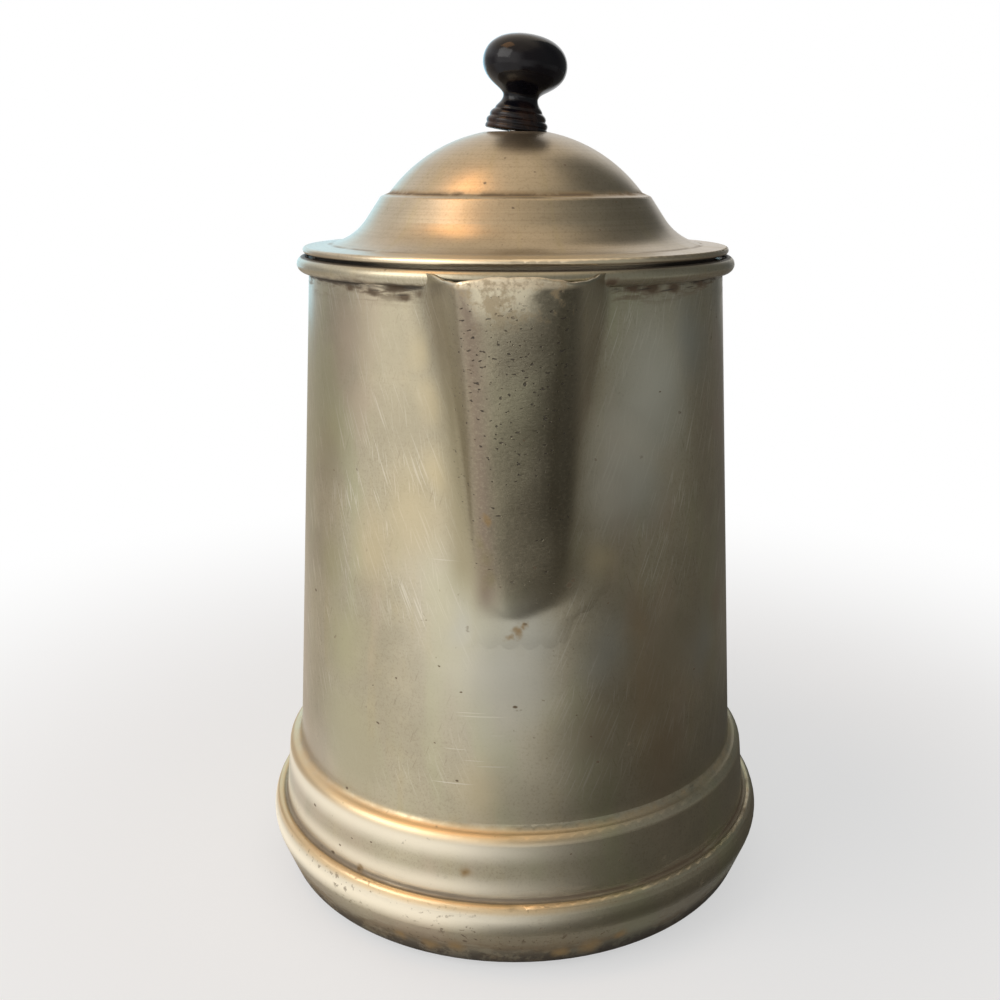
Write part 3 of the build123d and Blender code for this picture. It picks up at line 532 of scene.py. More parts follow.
def body_metal():
    net = Net("body_aluminium_worn")
    look = worn_metal(net, CHAMPAGNE, PEWTER, STRAW, 0.3)
    u, z, radius = look["u"], look["z"], look["radius"]
    wall_marks(net, look)
    ragged = net.step(look["mottle"], 0.38, 0.60)
    long_dirt = net.noise(net.stretched(u, z, 55.0, 500.0, 7.0), 1.0, 4.0, 0.65)
    crease = net.times(net.band(z, CREASE_LINE), net.step(long_dirt, 0.26, 0.46))
    inner = net.times(net.fade(radius, CREASE_EDGE), off_seam(net, u))
    stain_and_shade(net, look, net.times(crease, inner), UMBER, 0.90)
    above = net.times(net.band(z, CREASE_DIRT), net.step(long_dirt, 0.48, 0.60))
    stain_and_shade(net, look, above, UMBER, 0.65)
    # Painted shade in the gap under the lid's hem, with some soot
    gap = net.times(net.fade(z, RIM_GAP_Z), net.fade(radius, RIM_GAP_R))
    stain_and_shade(net, look, gap, SOOT_AND_SHADE, 0.95)
    stain_and_shade(net, look, net.times(net.band(z, WALL_FOOT_LINE), ragged), OCHRE, 0.45)
    # Painted highlights along the shoulder, the step and the roll's top, at the left and front only
    glow = net.larger(net.band(z, SHOULDER_GLOW), net.band(z, ROLL_GLOW))
    glow = net.larger(glow, net.times(net.band(z, STEP_GLOW), 0.85))
    at_left = net.fade(u, AT_LEFT)
    glow = net.times(glow, net.times(net.fade(u, GLOW_END), at_left))
    toned(net, look, glow, HIGHLIGHT_PALE, 0.85)
    # Painted warm reflection of the lamp on the shoulder and the roll's top, at the left and front only
    on_roll = net.times(net.fade(radius, ROLL_R), net.fade(z, ROLL_Z))
    warm_reflection = net.larger(net.band(z, SHOULDER_WARM_REFLECTION), on_roll)
    warm_reflection = net.times(warm_reflection, net.times(net.fade(u, WARM_REFLECTION_END), at_left))
    warm_reflection = net.times(warm_reflection, net.plus(0.6, net.times(look["mottle"], 0.8)), clamp=True)
    toned(net, look, warm_reflection, REFLECTED_AMBER, 0.75)
    low = net.noise(net.stretched(u, z, 45.0, 130.0, 1.0), 1.0, 5.0, 0.7)
    base = net.times(net.fade(z, RUSTY_FOOT), net.step(low, 0.42, 0.56))
    stain_and_shade(net, look, net.times(base, off_seam(net, u)), RUSTY, 0.85)
    # Painted shade: darker towards the foot, and more so on the right
    at_right = net.times(net.fade(u, RIGHT_START), net.fade(u, RIGHT_END))
    under = net.times(net.fade(z, DEEP_FOOT), net.plus(0.65, net.times(at_right, 0.35)))
    toned(net, look, under, DEEP, 0.90)
    soot = net.times(net.fade(z, SOOTY_FOOT), net.step(look["mottle"], 0.42, 0.54))
    stain_and_shade(net, look, soot, SOOT_AND_SHADE, 0.80)
    # Soot at the very bottom with painted contact shade, twice as high on the shaded right
    soot_shade_top = net.plus(SOOT_SHADE_Z * MM, net.times(at_right, SOOT_SHADE_Z * MM))
    stain_and_shade(net, look, net.step(z, soot_shade_top, SOOT_SHADE_FULL_Z * MM), SOOT_AND_SHADE, 0.85)
    rust = net.step(net.noise(net.point, 620.0, 2.0, 0.6), 0.59, 0.66)
    rust = net.times(rust, net.times(net.fade(z, SPECKED_BASE), net.step(low, 0.46, 0.62)))
    stain_and_shade(net, look, rust, UMBER, 0.80)
    look["rough"] = net.plus(look["rough"], net.times(net.fade(z, ROUGH_BASE), 0.08))
    stain_and_shade(net, look, look["specks"], UMBER, 0.7)
    stain_and_shade(net, look, near(net, "body_shell", BASE_SPOTS, 1.6), UMBER, 0.85)
    stain_and_shade(net, look, near(net, "body_shell", BASE_STAINS, 1.0, 0.0, 300.0, 3.0, 0.0), OCHRE, 0.95)
    return net.finish(look["colour"], look["rough"], look["normal"], look["metal"])


def spout_metal():
    net = Net("spout_aluminium_worn")
    look = worn_metal(net, CHAMPAGNE, PEWTER, STRAW, 0.15)
    x, y, z = net.axes(net.point)
    front = net.fade(net.math("ABSOLUTE", x), NOSE_SIDE)
    drop = net.minus(HEM_Z * MM, z)
    wall = net.plus(RIM_R * MM, net.times(net.minus(RIM_Z * MM, z), WALL_TAPER))
    proud = net.minus(look["radius"], wall)
    wall_marks(net, look, net.fade(proud, WALL_LEVEL))
    nose = net.times(front, net.fade(proud, NOSE_LEVEL))
    # Tarnish with painted shade on the nose, darker further down, where it faces down
    depth = net.fade(drop, DARKENING)
    toned(net, look, net.times(nose, net.plus(0.25, net.times(depth, 0.75))), TARNISH_AND_SHADE, 0.85)
    edge = net.plus(x, net.minus(NOSE_EDGE_X * MM, net.times(drop, NOSE_EDGE_SLOPE)))
    rosy = net.times(net.band(edge, ROSY_EDGE), net.fade(drop, ROSY_END))
    toned(net, look, net.times(rosy, front), ROSE, 0.90)
    # Painted shade along the left flank beside the nose, made duller too
    beside = net.times(net.band(edge, BESIDE_EDGE), net.fade(drop, BESIDE_START))
    beside = net.times(beside, net.fade(drop, BESIDE_END))
    toned(net, look, beside, STRAW_SHADE, 0.80)
    look["rough"] = net.plus(look["rough"], net.times(beside, 0.12))
    # Painted shade on the nose's right side, weaker towards the toe
    shade = net.times(nose, net.fade(x, SHADED_SIDE))
    shade = net.times(shade, net.minus(1.0, net.times(net.fade(drop, SHADE_END), 0.8)))
    toned(net, look, shade, DEEP, 0.75)
    veins = net.noise(net.vector(net.times(x, 900.0), 0.0, net.times(z, 1200.0)), 1.0, 4.0, 0.75)
    toned(net, look, net.times(nose, net.step(veins, 0.50, 0.62)), PEWTER, 0.30)
    toned(net, look, net.times(nose, net.step(veins, 0.46, 0.34)), DEEP, 0.40)
    pit_place = net.stretched(x, y, 620.0, 620.0, net.times(z, 1250.0))
    limit = net.minus(PIT_LIMIT, net.times(net.band(drop, PITTED), 0.052))
    pits = net.step(net.minus(net.noise(pit_place, 1.0, 1.0), limit), 0.0, 0.05)
    pits = net.times(pits, net.times(nose, net.fade(drop, PITS_END)))
    stain_and_shade(net, look, pits, SOOT_AND_SHADE, 0.80)
    relief = net.minus(net.times(veins, net.times(nose, 0.35)), pits)
    pit_bump = net.bump(relief, PIT_DEPTH, look["normal"])
    patch = net.plus(net.times(net.band(x, CHALK_MIDDLE), 0.5), net.times(look["mottle"], 0.7))
    chalky = net.times(net.fade(drop, CHALK_END), net.step(patch, 0.36, 0.62))
    stain_and_shade(net, look, net.times(chalky, nose), CHALK, 0.95)
    # Bright lip edge: partly worn metal, partly a painted highlight
    toned(net, look, net.times(net.fade(drop, LIP_EDGE), nose), POLISH_AND_HIGHLIGHT, 0.80)
    rust = net.times(net.fade(drop, LIP_RUST), net.step(look["mottle"], 0.54, 0.64))
    stain_and_shade(net, look, net.times(rust, nose), OCHRE, 0.55)
    stain_and_shade(net, look, look["specks"], UMBER, 0.6)
    stain_and_shade(net, look, near(net, "spout_skin", SPOUT_STAINS, 0.6, 0.0, 200.0, 3.0, 0.0), OLIVE, 0.40)
    stain_and_shade(net, look, near(net, "spout_skin", SPOUT_DIRT, 1.2), UMBER, 0.75)
    stain_and_shade(net, look, near(net, "spout_skin", SPOUT_RUN, 1.0, 0.0, 350.0, 4.0, 0.0), OCHRE, 0.95)
    return net.finish(look["colour"], look["rough"], pit_bump, look["metal"])


def lid_metal():
    net = Net("lid_aluminium_worn")
    look = worn_metal(net, WARM_LIGHT, WARM_DARK, STRAW, 1.1)
    radius = look["radius"]
    ragged = net.step(look["mottle"], 0.38, 0.60)
    for place, part, colour in ((GROOVE_DIRT, 0.5, OCHRE), (GROOVE_LINE, 0.2, UMBER)):
        groove = net.times(net.band(radius, place), net.plus(ragged, part), clamp=True)
        stain_and_shade(net, look, groove, colour, 0.85)
    stain_and_shade(net, look, net.times(net.fade(radius, KNOB_FOOT), ragged), UMBER, 0.55)
    # Painted shade under the hem, where it sits on the bead, with some soot
    stain_and_shade(net, look, net.fade(look["z"], HEM_GAP), SOOT_AND_SHADE, 0.95)
    stain_and_shade(net, look, net.times(net.band(radius, RING_LINE), ragged), UMBER, 0.55)
    # Painted highlight along the front of the brim
    front = net.fade(net.math("ABSOLUTE", look["u"]), BRIM_FRONT)
    brim = net.times(net.fade(radius, BRIM_START), front)
    toned(net, look, brim, POLISH_AND_HIGHLIGHT, 0.85)
    stain_and_shade(net, look, look["specks"], UMBER, 0.6)
    stain_and_shade(net, look, near(net, "lid_shell", LID_SPOTS, 1.6), UMBER, 0.7)
    return net.finish(look["colour"], look["rough"], look["normal"], look["metal"])


def plain_metal(name, light, dark):
    net = Net(name)
    look = worn_metal(net, light, dark, STRAW)
    stain_and_shade(net, look, look["specks"], UMBER, 0.5)
    return net.finish(look["colour"], look["rough"], look["normal"], look["metal"])


def lacquer(name, gloss, worn_low, worn_high):
    """Black lacquered wood, rubbed brown from a low height to nothing at a high one."""
    net = Net(name)
    z = net.axes(net.point)[2]
    grain = net.noise(net.point, 260.0, 4.0, 0.6)
    long_grain = net.noise(net.point, 60.0, 5.0, 0.55, 0.6)
    rubbed = net.times(net.fade(z, (worn_high, worn_low)), net.step(long_grain, 0.42, 0.60))
    colour = net.blend(net.step(long_grain, 0.35, 0.7), BLACK, BLACK_BROWN)
    colour = net.blend(net.times(rubbed, 0.8), colour, BARE_WOOD)
    rough = net.plus(gloss, net.times(grain, 0.10))
    rough = net.plus(rough, net.times(rubbed, 0.25))
    normal = net.bump(grain, LACQUER_GRAIN, net.bump(long_grain, LACQUER_WAVE))
    return net.finish(colour, rough, normal, Specular_IOR_Level=0.22)


def smooth_between(stations, drop, column):
    """Catmull-Rom through a column of the stations."""
    last = len(stations) - 2
    i = 0
    while i < last and drop > stations[i + 1][0]:
        i += 1
    before, start = stations[max(i - 1, 0)], stations[i]
    end, after = stations[i + 1], stations[min(i + 2, last + 1)]
    t = min(max((drop - start[0]) / (end[0] - start[0]), 0.0), 1.0)
    width = end[0] - start[0]
    slope_in = (end[column] - before[column]) / (end[0] - before[0]) * width
    slope_out = (after[column] - start[column]) / (after[0] - start[0]) * width
    a, b = start[column], end[column]
    return (a * (2 * t**3 - 3 * t**2 + 1) + slope_in * (t**3 - 2 * t**2 + t)
            + b * (3 * t**2 - 2 * t**3) + slope_out * (t**3 - t**2))


def wall_radius(z):
    return RIM_R + (WALL_FOOT_R - RIM_R) * (RIM_Z - z) / (RIM_Z - WALL_FOOT_Z)


def ease(value):
    """0 below 0, 1 above 1, smooth between."""
    t = min(max(value, 0.0), 1.0)
    return t * t * (3 - 2 * t)


def spout_reach(drop):
    """How far the nose stands out of the wall, easing to nothing at the bottom."""
    reach = SPOUT_REACH * (1 - drop / SPOUT_SLOPE_END)
    return 0.5 * (reach + sqrt(reach * reach + SLOPE_CORNER**2)) - 0.5 * SLOPE_CORNER * exp(-abs(reach))


def along(points, count):
    """Points evenly spaced along a line of points."""
    lengths = [0.0]
    for a, b in zip(points, points[1:]):
        lengths.append(lengths[-1] + hypot(b[0] - a[0], b[1] - a[1]))
    result = []
    i = 0
    for k in range(count):
        at = lengths[-1] * k / (count - 1)
        while i < len(points) - 2 and at > lengths[i + 1]:
            i += 1
        t = (at - lengths[i]) / (lengths[i + 1] - lengths[i])
        a, b = points[i], points[i + 1]
        result.append((a[0] + (b[0] - a[0]) * t, a[1] + (b[1] - a[1]) * t))
    return result, lengths[-1] / (count - 1)


def softened(points, spacing, widths):
    """Evenly spaced points, each averaged over its own width."""
    last = len(points) - 1
    result = []
    for i, width in enumerate(widths):
        reach = min(int(2.6 * width / spacing) + 1, i, last - i)
        total = x = y = 0.0
        for k in range(i - reach, i + reach + 1):
            weight = exp(-0.5 * ((k - i) * spacing / width) ** 2)
            total += weight
            x += weight * points[k][0]
            y += weight * points[k][1]
        result.append((x / total, y / total))
    return result


def unrolled(x, y, radius):
    """A point of the plan as (distance along the wall, height above the wall)."""
    return atan2(x, y) * radius, hypot(x, y) - radius


def spout_section(drop):
    """Section at a drop, from right to left, as (distance along the wall, height above it)."""
    radius = wall_radius(HEM_Z - drop)
    reach = spout_reach(drop)
    edges = [smooth_between(SPOUT_STATIONS, drop, column) for column in (1, 2, 3, 4)]
    nose_left, nose_right, knee_left, knee_right = edges
    middle, half = (nose_right + nose_left) / 2, (nose_right - nose_left) / 2
    crown = NOSE_CROWN * half / SPOUT_STATIONS[0][2]
    tip = radius + reach
    plan = []
    for k in range(NOSE_STEPS, -NOSE_STEPS - 1, -1):
        x = middle + half * k / NOSE_STEPS
        wall_y = sqrt(radius**2 - x * x)
        y = tip - crown * (k / NOSE_STEPS) ** 2
        fall = max(tip - wall_y, 0.0)
        plan.append((x, max(y, wall_y + NOSE_SIDE_FALL * fall * reach / (reach + NOSE_SIDE_REACH))))
    nose = [unrolled(x, y, radius) for x, y in plan]
    knees = [asin(knee / radius) * radius for knee in (knee_right, knee_left)]
    line = [(knees[0] + WALL_MARGIN, 0.0), (knees[0], 0.0)] + nose
    line += [(knees[1], 0.0), (knees[1] - WALL_MARGIN, 0.0)]
    points, spacing = along(line, SECTION_POINTS)
    nose_width = NOSE_SOFT_TOP + (NOSE_SOFT_TOE - NOSE_SOFT_TOP) * ease(drop / NOSE_SOFT_DROP)
    knee_depth = ease((drop - KNEE_SOFT_DROP) / KNEE_SOFT_SPAN)
    knee_width = KNEE_SOFT_TOP + (KNEE_SOFT_TOE - KNEE_SOFT_TOP) * knee_depth
    widths = []
    for s, h in points:
        inside = ease((h / max(reach, 0.5) - NOSE_SHARE[0]) / NOSE_SHARE[1])
        broad = knee_width * (LEFT_KNEE if s < 0 else 1.0)
        widths.append(broad + (nose_width - broad) * inside)
    return radius, softened(points, spacing, widths)


def spout_skin():
    """The pressed spout, drawn out of the wall and flowing back into it."""
    bm = bmesh.new()
    grid = []
    weights = []
    for row in range(SPOUT_ROWS):
        drop = LIP_DROP + (SPOUT_END_DROP - LIP_DROP) * row / (SPOUT_ROWS - 1)
        radius, section = spout_section(drop)
        below = (SPOUT_END_DROP - drop) / SINK_WIDTH
        line = []
        for s, h in section:
            side = min(section[0][0] - s, s - section[-1][0]) / SINK_WIDTH
            lift = (SKIN_LIFT + SKIN_SINK) * ease(min(side, below)) - SKIN_SINK
            out = radius + h + lift
            angle = s / radius
            at = Vector((out * sin(angle), out * cos(angle), HEM_Z - drop))
            proud = ease(h / PROUD_HEIGHT)
            out += proud * sum(noise.noise(at / size + Vector((shift, 0, 0))) * deep
                               for size, deep, shift in DENTS)
            fade = 1 - ease((drop - LIP_DROP) / LIP_FADE)
            lip = LIP_RISE * (1 - ease((h - RISE_HEIGHTS[0]) / RISE_HEIGHTS[1])) * fade
            bowed = ease((h - BOW_HEIGHTS[0]) / BOW_HEIGHTS[1]) * ease(BOW_FLAT - abs(s) / BOW_HALF)
            lip += LIP_BOW * bowed * fade
            worn = noise.noise(Vector((at.x / WORN_PITCH[0], at.y / WORN_PITCH[1], 3.0)))
            worn *= WORN_DEPTH * ease(1 - row / WORN_ROWS) * proud
            height = HEM_Z - drop + lip + worn - LIP_DIP * proud * fade
            place = (out * sin(angle), -out * cos(angle), height)
            line.append(bm.verts.new([value * MM for value in place]))
            weights.append(min(max(h / SPOUT_SHEET - 0.1, THIN_EDGE), 1.0))
        grid.append(line)
    for upper, lower in zip(grid, grid[1:]):
        for i in range(SECTION_POINTS - 1):
            bm.faces.new((upper[i], upper[i + 1], lower[i + 1], lower[i]))
    piece = new_piece("spout_skin", bm)
    group = piece.vertex_groups.new(name="sheet")
    for index, weight in enumerate(weights):
        group.add([index], weight, "REPLACE")
    for polygon in piece.data.polygons:
        polygon.use_smooth = True
    solid = piece.modifiers.new("sheet", "SOLIDIFY")
    solid.thickness = SPOUT_SHEET * MM
    solid.offset = -1.0
    solid.vertex_group = "sheet"
    return piece


# Knob: radius and height along its own axis, from the seat
KNOB_PROFILE = (
    (8.9, 0.0), (9.15, 0.5), (9.2, 1.0), (9.0, 1.5), (8.75, 1.7), (8.95, 2.0), (9.05, 2.5), (8.9, 3.1),
    (8.45, 3.5), (8.1, 3.7), (8.3, 4.0), (8.25, 4.6), (7.9, 5.2), (7.3, 5.7), (6.95, 5.9), (6.95, 6.3),
    (6.5, 7.0), (5.7, 7.8), (5.2, 8.8), (5.05, 9.6), (5.3, 10.4), (6.2, 11.2), (7.7, 12.1), (9.3, 13.2),
    (10.8, 14.6), (11.8, 16.2), (12.25, 17.8), (12.3, 19.4), (12.0, 21.0), (11.2, 22.7), (10.0, 24.1),
    (8.2, 25.4), (6.0, 26.3), (3.4, 26.85), (1.2, 27.0),
)
KNOB_LEAN = 8.0
KNOB_STEPS = 96


def turned_knob():
    """The knob as it was turned, ringed at the foot, leaning to +X, with nothing below the seat."""
    bm = bmesh.new()
    lean = Euler((0, radians(KNOB_LEAN), 0)).to_matrix()
    rows = []
    for radius, height in KNOB_PROFILE:
        row = []
        for i in range(KNOB_STEPS):
            angle = 2 * pi * i / KNOB_STEPS
            place = lean @ Vector((radius * cos(angle), radius * sin(angle), height))
            row.append(bm.verts.new((place.x * MM, place.y * MM, (SEAT_Z + max(place.z, 0.0)) * MM)))
        rows.append(row)
    for lower, upper in zip(rows, rows[1:]):
        for i in range(KNOB_STEPS):
            j = (i + 1) % KNOB_STEPS
            bm.faces.new((lower[i], lower[j], upper[j], upper[i]))
    bm.faces.new(rows[-1])
    bm.faces.new(list(reversed(rows[0])))
    piece = new_piece("turned_knob", bm)
    for polygon in piece.data.polygons:
        polygon.use_smooth = len(polygon.vertices) == 4
    smooth = piece.modifiers.new("smooth", "SUBSURF")
    smooth.levels = smooth.render_levels = 1
    return piece


def area_light(name, place, target, size, power, colour):
    lamp = bpy.data.lights.new(name, "AREA")
    lamp.shape = "RECTANGLE"
    lamp.size, lamp.size_y = size
    lamp.energy = power
    lamp.color = colour
    holder = bpy.data.objects.new(name, lamp)
    holder.location = place
    holder.rotation_euler = (Vector(target) - Vector(place)).to_track_quat("-Z", "Y").to_euler()
    bpy.context.scene.collection.objects.link(holder)


def stage_card(name, rings, place):
    """A card that only reflections see: rings of points, place(ring, angle) gives each."""
    bm = bmesh.new()
    angles = [2 * pi * i / CARD_STEPS for i in range(CARD_STEPS + 1)]
    grid = [[bm.verts.new(place(ring, angle)) for angle in angles] for ring in rings]
    for a, b in zip(grid, grid[1:]):
        for i in range(CARD_STEPS):
            bm.faces.new((a[i], a[i + 1], b[i + 1], b[i]))
    card = new_piece(name, bm)
    card.visible_camera = False
    card.visible_diffuse = False
    card.visible_shadow = False
    return card


# Tints of what the metal reflects
WHITE = (1.0, 1.0, 1.0)
WARM_CEILING = (1.0, 0.88, 0.72)
PAPER = (1.0, 0.98, 0.95)
LAMPLIT = (1.0, 0.97, 0.92)
DARK_SIDE = (0.94, 1.0, 0.98)
GREEN_SIDE = (0.97, 1.0, 0.96)
DARK_TABLE = (1.0, 0.94, 0.84)
COOL_SKY = (0.55, 0.84, 1.0)
ALL_ROUND = (-999.0, -998.0, 998.0, 999.0)


def above(start, full):
    return start, full, 998.0, 999.0


def below(full, end):
    return -999.0, -998.0, full, end


# Each as: window round the pot and window in elevation, both in degrees, then level and tint
ROOM_CARDS = (
    (ALL_ROUND, above(34.0, 58.0), 0.95, WARM_CEILING),
    ((-20.0, 5.0, 40.0, 60.0), (10.0, 20.0, 44.0, 62.0), 0.35, WHITE),
    ((-100.0, -70.0, -32.0, -10.0), (-4.0, 6.0, 38.0, 52.0), 1.75, PAPER),
    ((-150.0, -132.0, -96.0, -78.0), below(14.0, 32.0), 0.50, WHITE),
    ((-8.0, 52.0, 146.0, 156.0), below(54.0, 80.0), 0.30, DARK_SIDE),
    ((60.0, 112.0, 146.0, 156.0), below(54.0, 80.0), 0.14, DARK_SIDE),
    ((36.0, 60.0, 88.0, 108.0), below(3.0, 9.0), 0.40, DARK_SIDE),
    (below(-152.0, -136.0), below(14.0, 34.0), 1.9, COOL_SKY),
)
# The same on the table, where the second window is the distance from the pot's axis in metres
TABLE_CARDS = (
    ((0.0, 42.0, 150.0, 165.0), ALL_ROUND, 0.155, DARK_TABLE),
    ((34.0, 58.0, 88.0, 110.0), above(0.60, 0.85), 0.36, GREEN_SIDE),
    (below(-30.0, 0.0), below(0.105, 0.150), 1.30, LAMPLIT),
    ((-12.0, 30.0, 150.0, 168.0), below(0.15, 0.24), 0.08, DARK_TABLE),
    (above(164.0, 180.0), ALL_ROUND, 0.9, WHITE),
)
LEFT_NEAR, LEFT_FAR = rgb(0.72, 0.66, 0.58), rgb(0.56, 0.505, 0.435)
FRONT_DARK, FRONT_BRIGHT_CARD = rgb(0.24, 0.235, 0.22), rgb(0.98, 0.99, 1.0)
PAPER_LIGHT, PAPER_DARK = rgb(0.82, 0.82, 0.82), rgb(0.78, 0.775, 0.765)
TABLE_LEFT = (-100.0, -70.0, -26.0, -4.0)
TABLE_FRONT = (-26.0, -4.0, 60.0, 90.0)


def direction(net):
    """Degrees round from the camera's side towards +X, and degrees above the floor."""
    x, y, z = net.axes(net.point)
    azimuth = net.math("DEGREES", net.math("ARCTAN2", x, net.times(y, -1.0)))
    return azimuth, net.math("DEGREES", net.math("ARCTAN2", z, net.size(x, y)))


def window(net, value, start, full, full_end, end):
    """1 between full and full_end, smooth to 0 at start and end."""
    return net.times(net.step(value, start, full), net.step(value, end, full_end))


def lay(net, colour, mask, level, tint):
    return net.blend(mask, colour, rgb(*[level * part for part in tint]))


def lay_cards(net, colour, cards, azimuth, other):
    """Lays cards over one another, each where both of its windows say."""
    for across, along_other, level, tint in cards:
        mask = net.times(window(net, azimuth, *across), window(net, other, *along_other))
        colour = lay(net, colour, mask, level, tint)
    return colour


def glowing(card, net, colour):
    glow = net.add("ShaderNodeEmission", {"Color": colour, "Strength": 1.0})
    net.add("ShaderNodeOutputMaterial", {"Surface": glow.outputs[0]})
    card.data.materials.append(net.material)


ROOM_RADIUS = 1.7
ROOM_LOW, ROOM_HIGH, ROOM_RING = -8, 90, 7
TABLE_RINGS = (0.084, 0.12, 0.2, 0.35, 0.7, 1.1, 1.66)
TABLE_LIFT = 0.0004
CARD_STEPS = 72
FLOOR_RADIUS = 6.0
FLOOR_DROP = 0.0002
FLOOR_FADE = (0.12, 0.42)         # distance from the axis: from paper to plain white, in metres
FLOOR_WHITE = 0.55                # how white the camera sees the paper at the least
SKY_LIGHT = 0.45                  # strength of the white sky as a light


def room():
    """White all round, with dark flags on the right and a cool window at the back left."""
    def place(elevation, angle):
        flat = ROOM_RADIUS * cos(radians(elevation))
        return flat * sin(angle), -flat * cos(angle), ROOM_RADIUS * sin(radians(elevation))
    card = stage_card("studio_room", range(ROOM_LOW, ROOM_HIGH + 1, ROOM_RING), place)
    net = Net("studio_room")
    azimuth, elevation = direction(net)
    glowing(card, net, lay_cards(net, rgb(1, 1, 1), ROOM_CARDS, azimuth, elevation))


def table():
    """What the metal sees of the surface round the pot: bright at the left, dark at the right."""
    def place(radius, angle):
        return radius * sin(angle), -radius * cos(angle), TABLE_LIFT
    card = stage_card("studio_table", TABLE_RINGS, place)
    net = Net("studio_table")
    x, y = net.axes(net.point)[:2]
    away = net.size(x, y)
    azimuth = direction(net)[0]
    facing = net.add("ShaderNodeLayerWeight", {"Blend": 0.5}).outputs["Facing"]
    far_left = net.blend(net.step(away, 0.28, 0.60), LEFT_NEAR, LEFT_FAR)
    colour = net.blend(net.step(azimuth, -84.0, -112.0), rgb(1, 1, 1), far_left)
    colour = lay(net, colour, window(net, azimuth, *TABLE_LEFT), 1.14, PAPER)
    front = net.blend(net.step(facing, 0.50, 0.74), FRONT_DARK, FRONT_BRIGHT_CARD)
    colour = net.blend(window(net, azimuth, *TABLE_FRONT), colour, front)
    glowing(card, net, lay_cards(net, colour, TABLE_CARDS, azimuth, away))


def floor():
    """Pale paper that catches the shadow near the pot and turns to plain white farther out."""
    bm = bmesh.new()
    bmesh.ops.create_circle(bm, cap_ends=True, segments=96, radius=FLOOR_RADIUS)
    piece = new_piece("floor", bm)
    piece.location.z = -FLOOR_DROP
    net = Net("floor_pale")
    x, y = net.axes(net.point)[:2]
    away = net.size(x, y)
    paper = net.noise(net.point, 6.0, 3.0)
    shade = net.blend(net.times(paper, 0.15), PAPER_LIGHT, PAPER_DARK)
    matt = net.add("ShaderNodeBsdfDiffuse", {"Color": shade})
    white = net.add("ShaderNodeEmission", {"Color": rgb(1, 1, 1), "Strength": 1.0})
    path = net.add("ShaderNodeLightPath").outputs
    mirrored = net.larger(path["Is Glossy Ray"], path["Is Transmission Ray"])
    far = net.step(away, *FLOOR_FADE)
    whiteness = net.plus(FLOOR_WHITE, net.times(far, 1.0 - FLOOR_WHITE))
    factor = net.times(path["Is Camera Ray"], whiteness)
    factor = net.larger(factor, net.times(mirrored, far))
    mixed = net.add("ShaderNodeMixShader", {0: factor, 1: matt.outputs[0], 2: white.outputs[0]})
    net.add("ShaderNodeOutputMaterial", {"Surface": mixed.outputs[0]})
    piece.data.materials.append(net.material)


def world():
    """White to the camera and to reflections, dimmer as a light."""
    scene_world = bpy.data.worlds.new("studio")
    bpy.context.scene.world = scene_world
    scene_world.use_nodes = True
    tree = scene_world.node_tree
    tree.nodes.clear()
    path = tree.nodes.new("ShaderNodeLightPath").outputs
    seen = tree.nodes.new("ShaderNodeMath")
    seen.operation = "MAXIMUM"
    mirror = tree.nodes.new("ShaderNodeMath")
    mirror.operation = "MAXIMUM"
    tree.links.new(path["Is Glossy Ray"], mirror.inputs[0])
    tree.links.new(path["Is Transmission Ray"], mirror.inputs[1])
    tree.links.new(path["Is Camera Ray"], seen.inputs[0])
    tree.links.new(mirror.outputs[0], seen.inputs[1])
    level = tree.nodes.new("ShaderNodeMapRange")
    level.inputs["To Min"].default_value = SKY_LIGHT
    level.inputs["To Max"].default_value = 1.0
    tree.links.new(seen.outputs[0], level.inputs["Value"])
    sky = tree.nodes.new("ShaderNodeBackground")
    sky.inputs["Color"].default_value = rgb(1, 1, 1)
    tree.links.new(level.outputs[0], sky.inputs["Strength"])
    out = tree.nodes.new("ShaderNodeOutputWorld")
    tree.links.new(sky.outputs[0], out.inputs["Surface"])


def camera_place():
    return Vector((CAMERA_X, CAMERA_Y, CAMERA_Z))


def camera_turn():
    tilt = Euler((radians(90 - CAMERA_PITCH), 0, 0)).to_matrix()
    return tilt @ Euler((0, 0, radians(CAMERA_ROLL))).to_matrix()


def seen_at(node, px, py):
    """The point of a piece that a pixel of the photograph shows."""
    look = camera_turn() @ Vector((px - PRINCIPAL_X, IMAGE_SIZE / 2 - py, -FOCAL_PIXELS))
    piece = frame["nodes"][node] if node in frame["nodes"] else bpy.data.objects[node]
    return piece.ray_cast(camera_place(), look.normalized())[1]


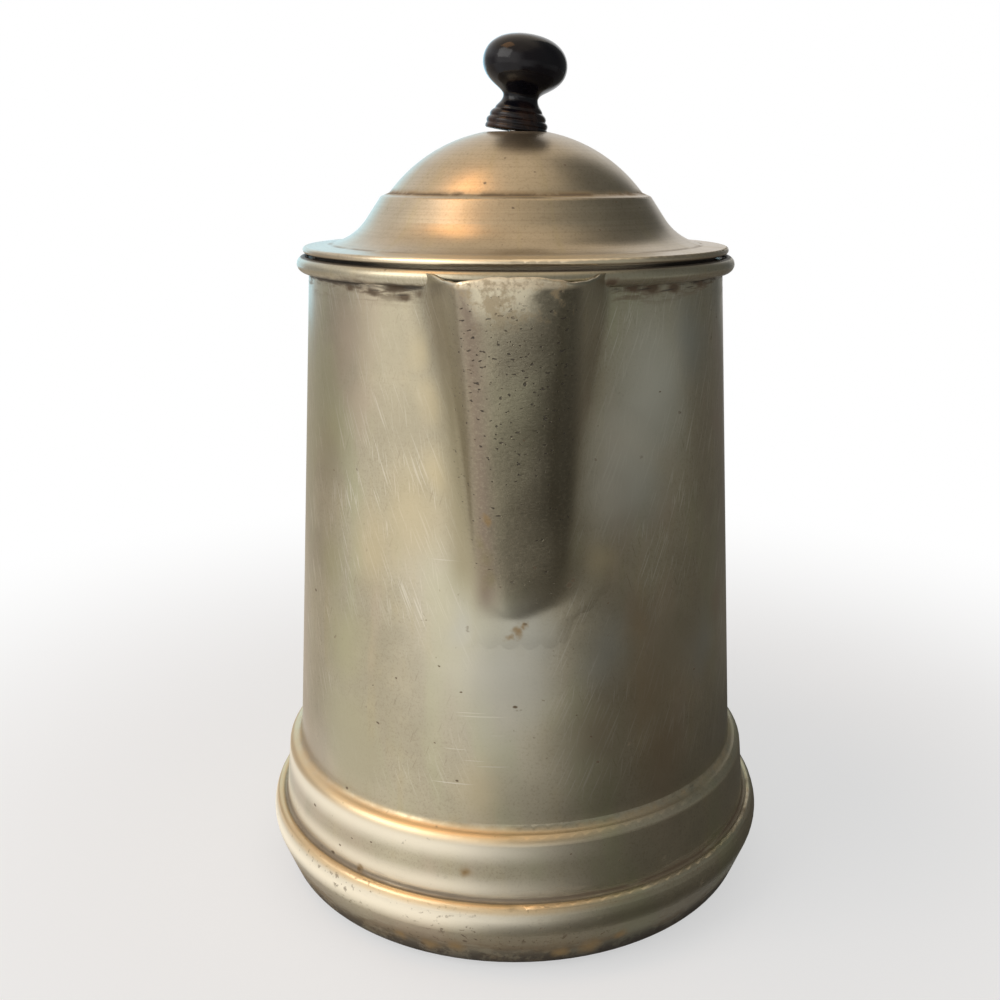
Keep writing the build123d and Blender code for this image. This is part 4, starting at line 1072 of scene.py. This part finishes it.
def camera():
    lens = bpy.data.cameras.new("camera")
    lens.sensor_width = SENSOR_MM
    lens.lens = FOCAL_PIXELS / IMAGE_SIZE * SENSOR_MM
    lens.shift_x = -(PRINCIPAL_X - IMAGE_SIZE / 2) / IMAGE_SIZE
    lens.clip_start = 0.01
    lens.clip_end = 50.0
    holder = bpy.data.objects.new("camera", lens)
    holder.location = camera_place()
    holder.rotation_euler = camera_turn().to_euler()
    bpy.context.scene.collection.objects.link(holder)
    bpy.context.scene.camera = holder


def dress(node, material):
    target = frame["nodes"][node]
    for slot in target.material_slots:
        slot.material = material
    if not target.material_slots:
        target.data.materials.append(material)


camera()
world()
floor()
room()
table()

skin = spout_skin()
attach(skin, "pot")
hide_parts("spout")
bpy.context.view_layer.update()
skin.data.materials.append(spout_metal())
handle_knob = turned_knob()
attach(handle_knob, "lid")
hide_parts("knob")

bracket = plain_metal("bracket_aluminium_worn", rgb(0.50, 0.455, 0.36), rgb(0.40, 0.36, 0.28))
rivet = plain_metal("rivet_aluminium_worn", rgb(0.56, 0.515, 0.42), rgb(0.46, 0.415, 0.33))
steel = plain_metal("steel_dull", rgb(0.42, 0.40, 0.37), rgb(0.30, 0.28, 0.25))
handle_knob.data.materials.append(lacquer("knob_lacquer", 0.08, *KNOB_RUBBED))
for material, nodes in (
    (body_metal(), ("body_shell",)),
    (lid_metal(), ("lid_shell", "lid_collar")),
    (bracket, ("upper_handle_bracket", "lower_handle_bracket", "lid_hinge_leaf")),
    (rivet, ("upper_bracket_rivets", "lower_bracket_rivets", "lid_leaf_rivets")),
    (steel, ("hinge_pin", "knob_washer", "knob_screw", "upper_grip_pin", "lower_grip_pin")),
    (lacquer("grip_lacquer", 0.20, *GRIP_RUBBED), ("handle_grip",)),
):
    for node in nodes:
        dress(node, material)

# A soft key light at the left that casts the shadow, and a small warm lamp above
area_light("key", place=(-1.1, -0.55, 1.0), target=(0, 0, 0.12), size=(0.9, 0.9),
           power=7.0, colour=(1.0, 0.98, 0.95))
area_light("warm_lamp", place=(-0.52, -0.06, 1.20), target=(0, 0, 0.15), size=(0.42, 0.42),
           power=1.55, colour=(1.0, 0.50, 0.18))

bpy.context.scene.view_settings.view_transform = "Standard"
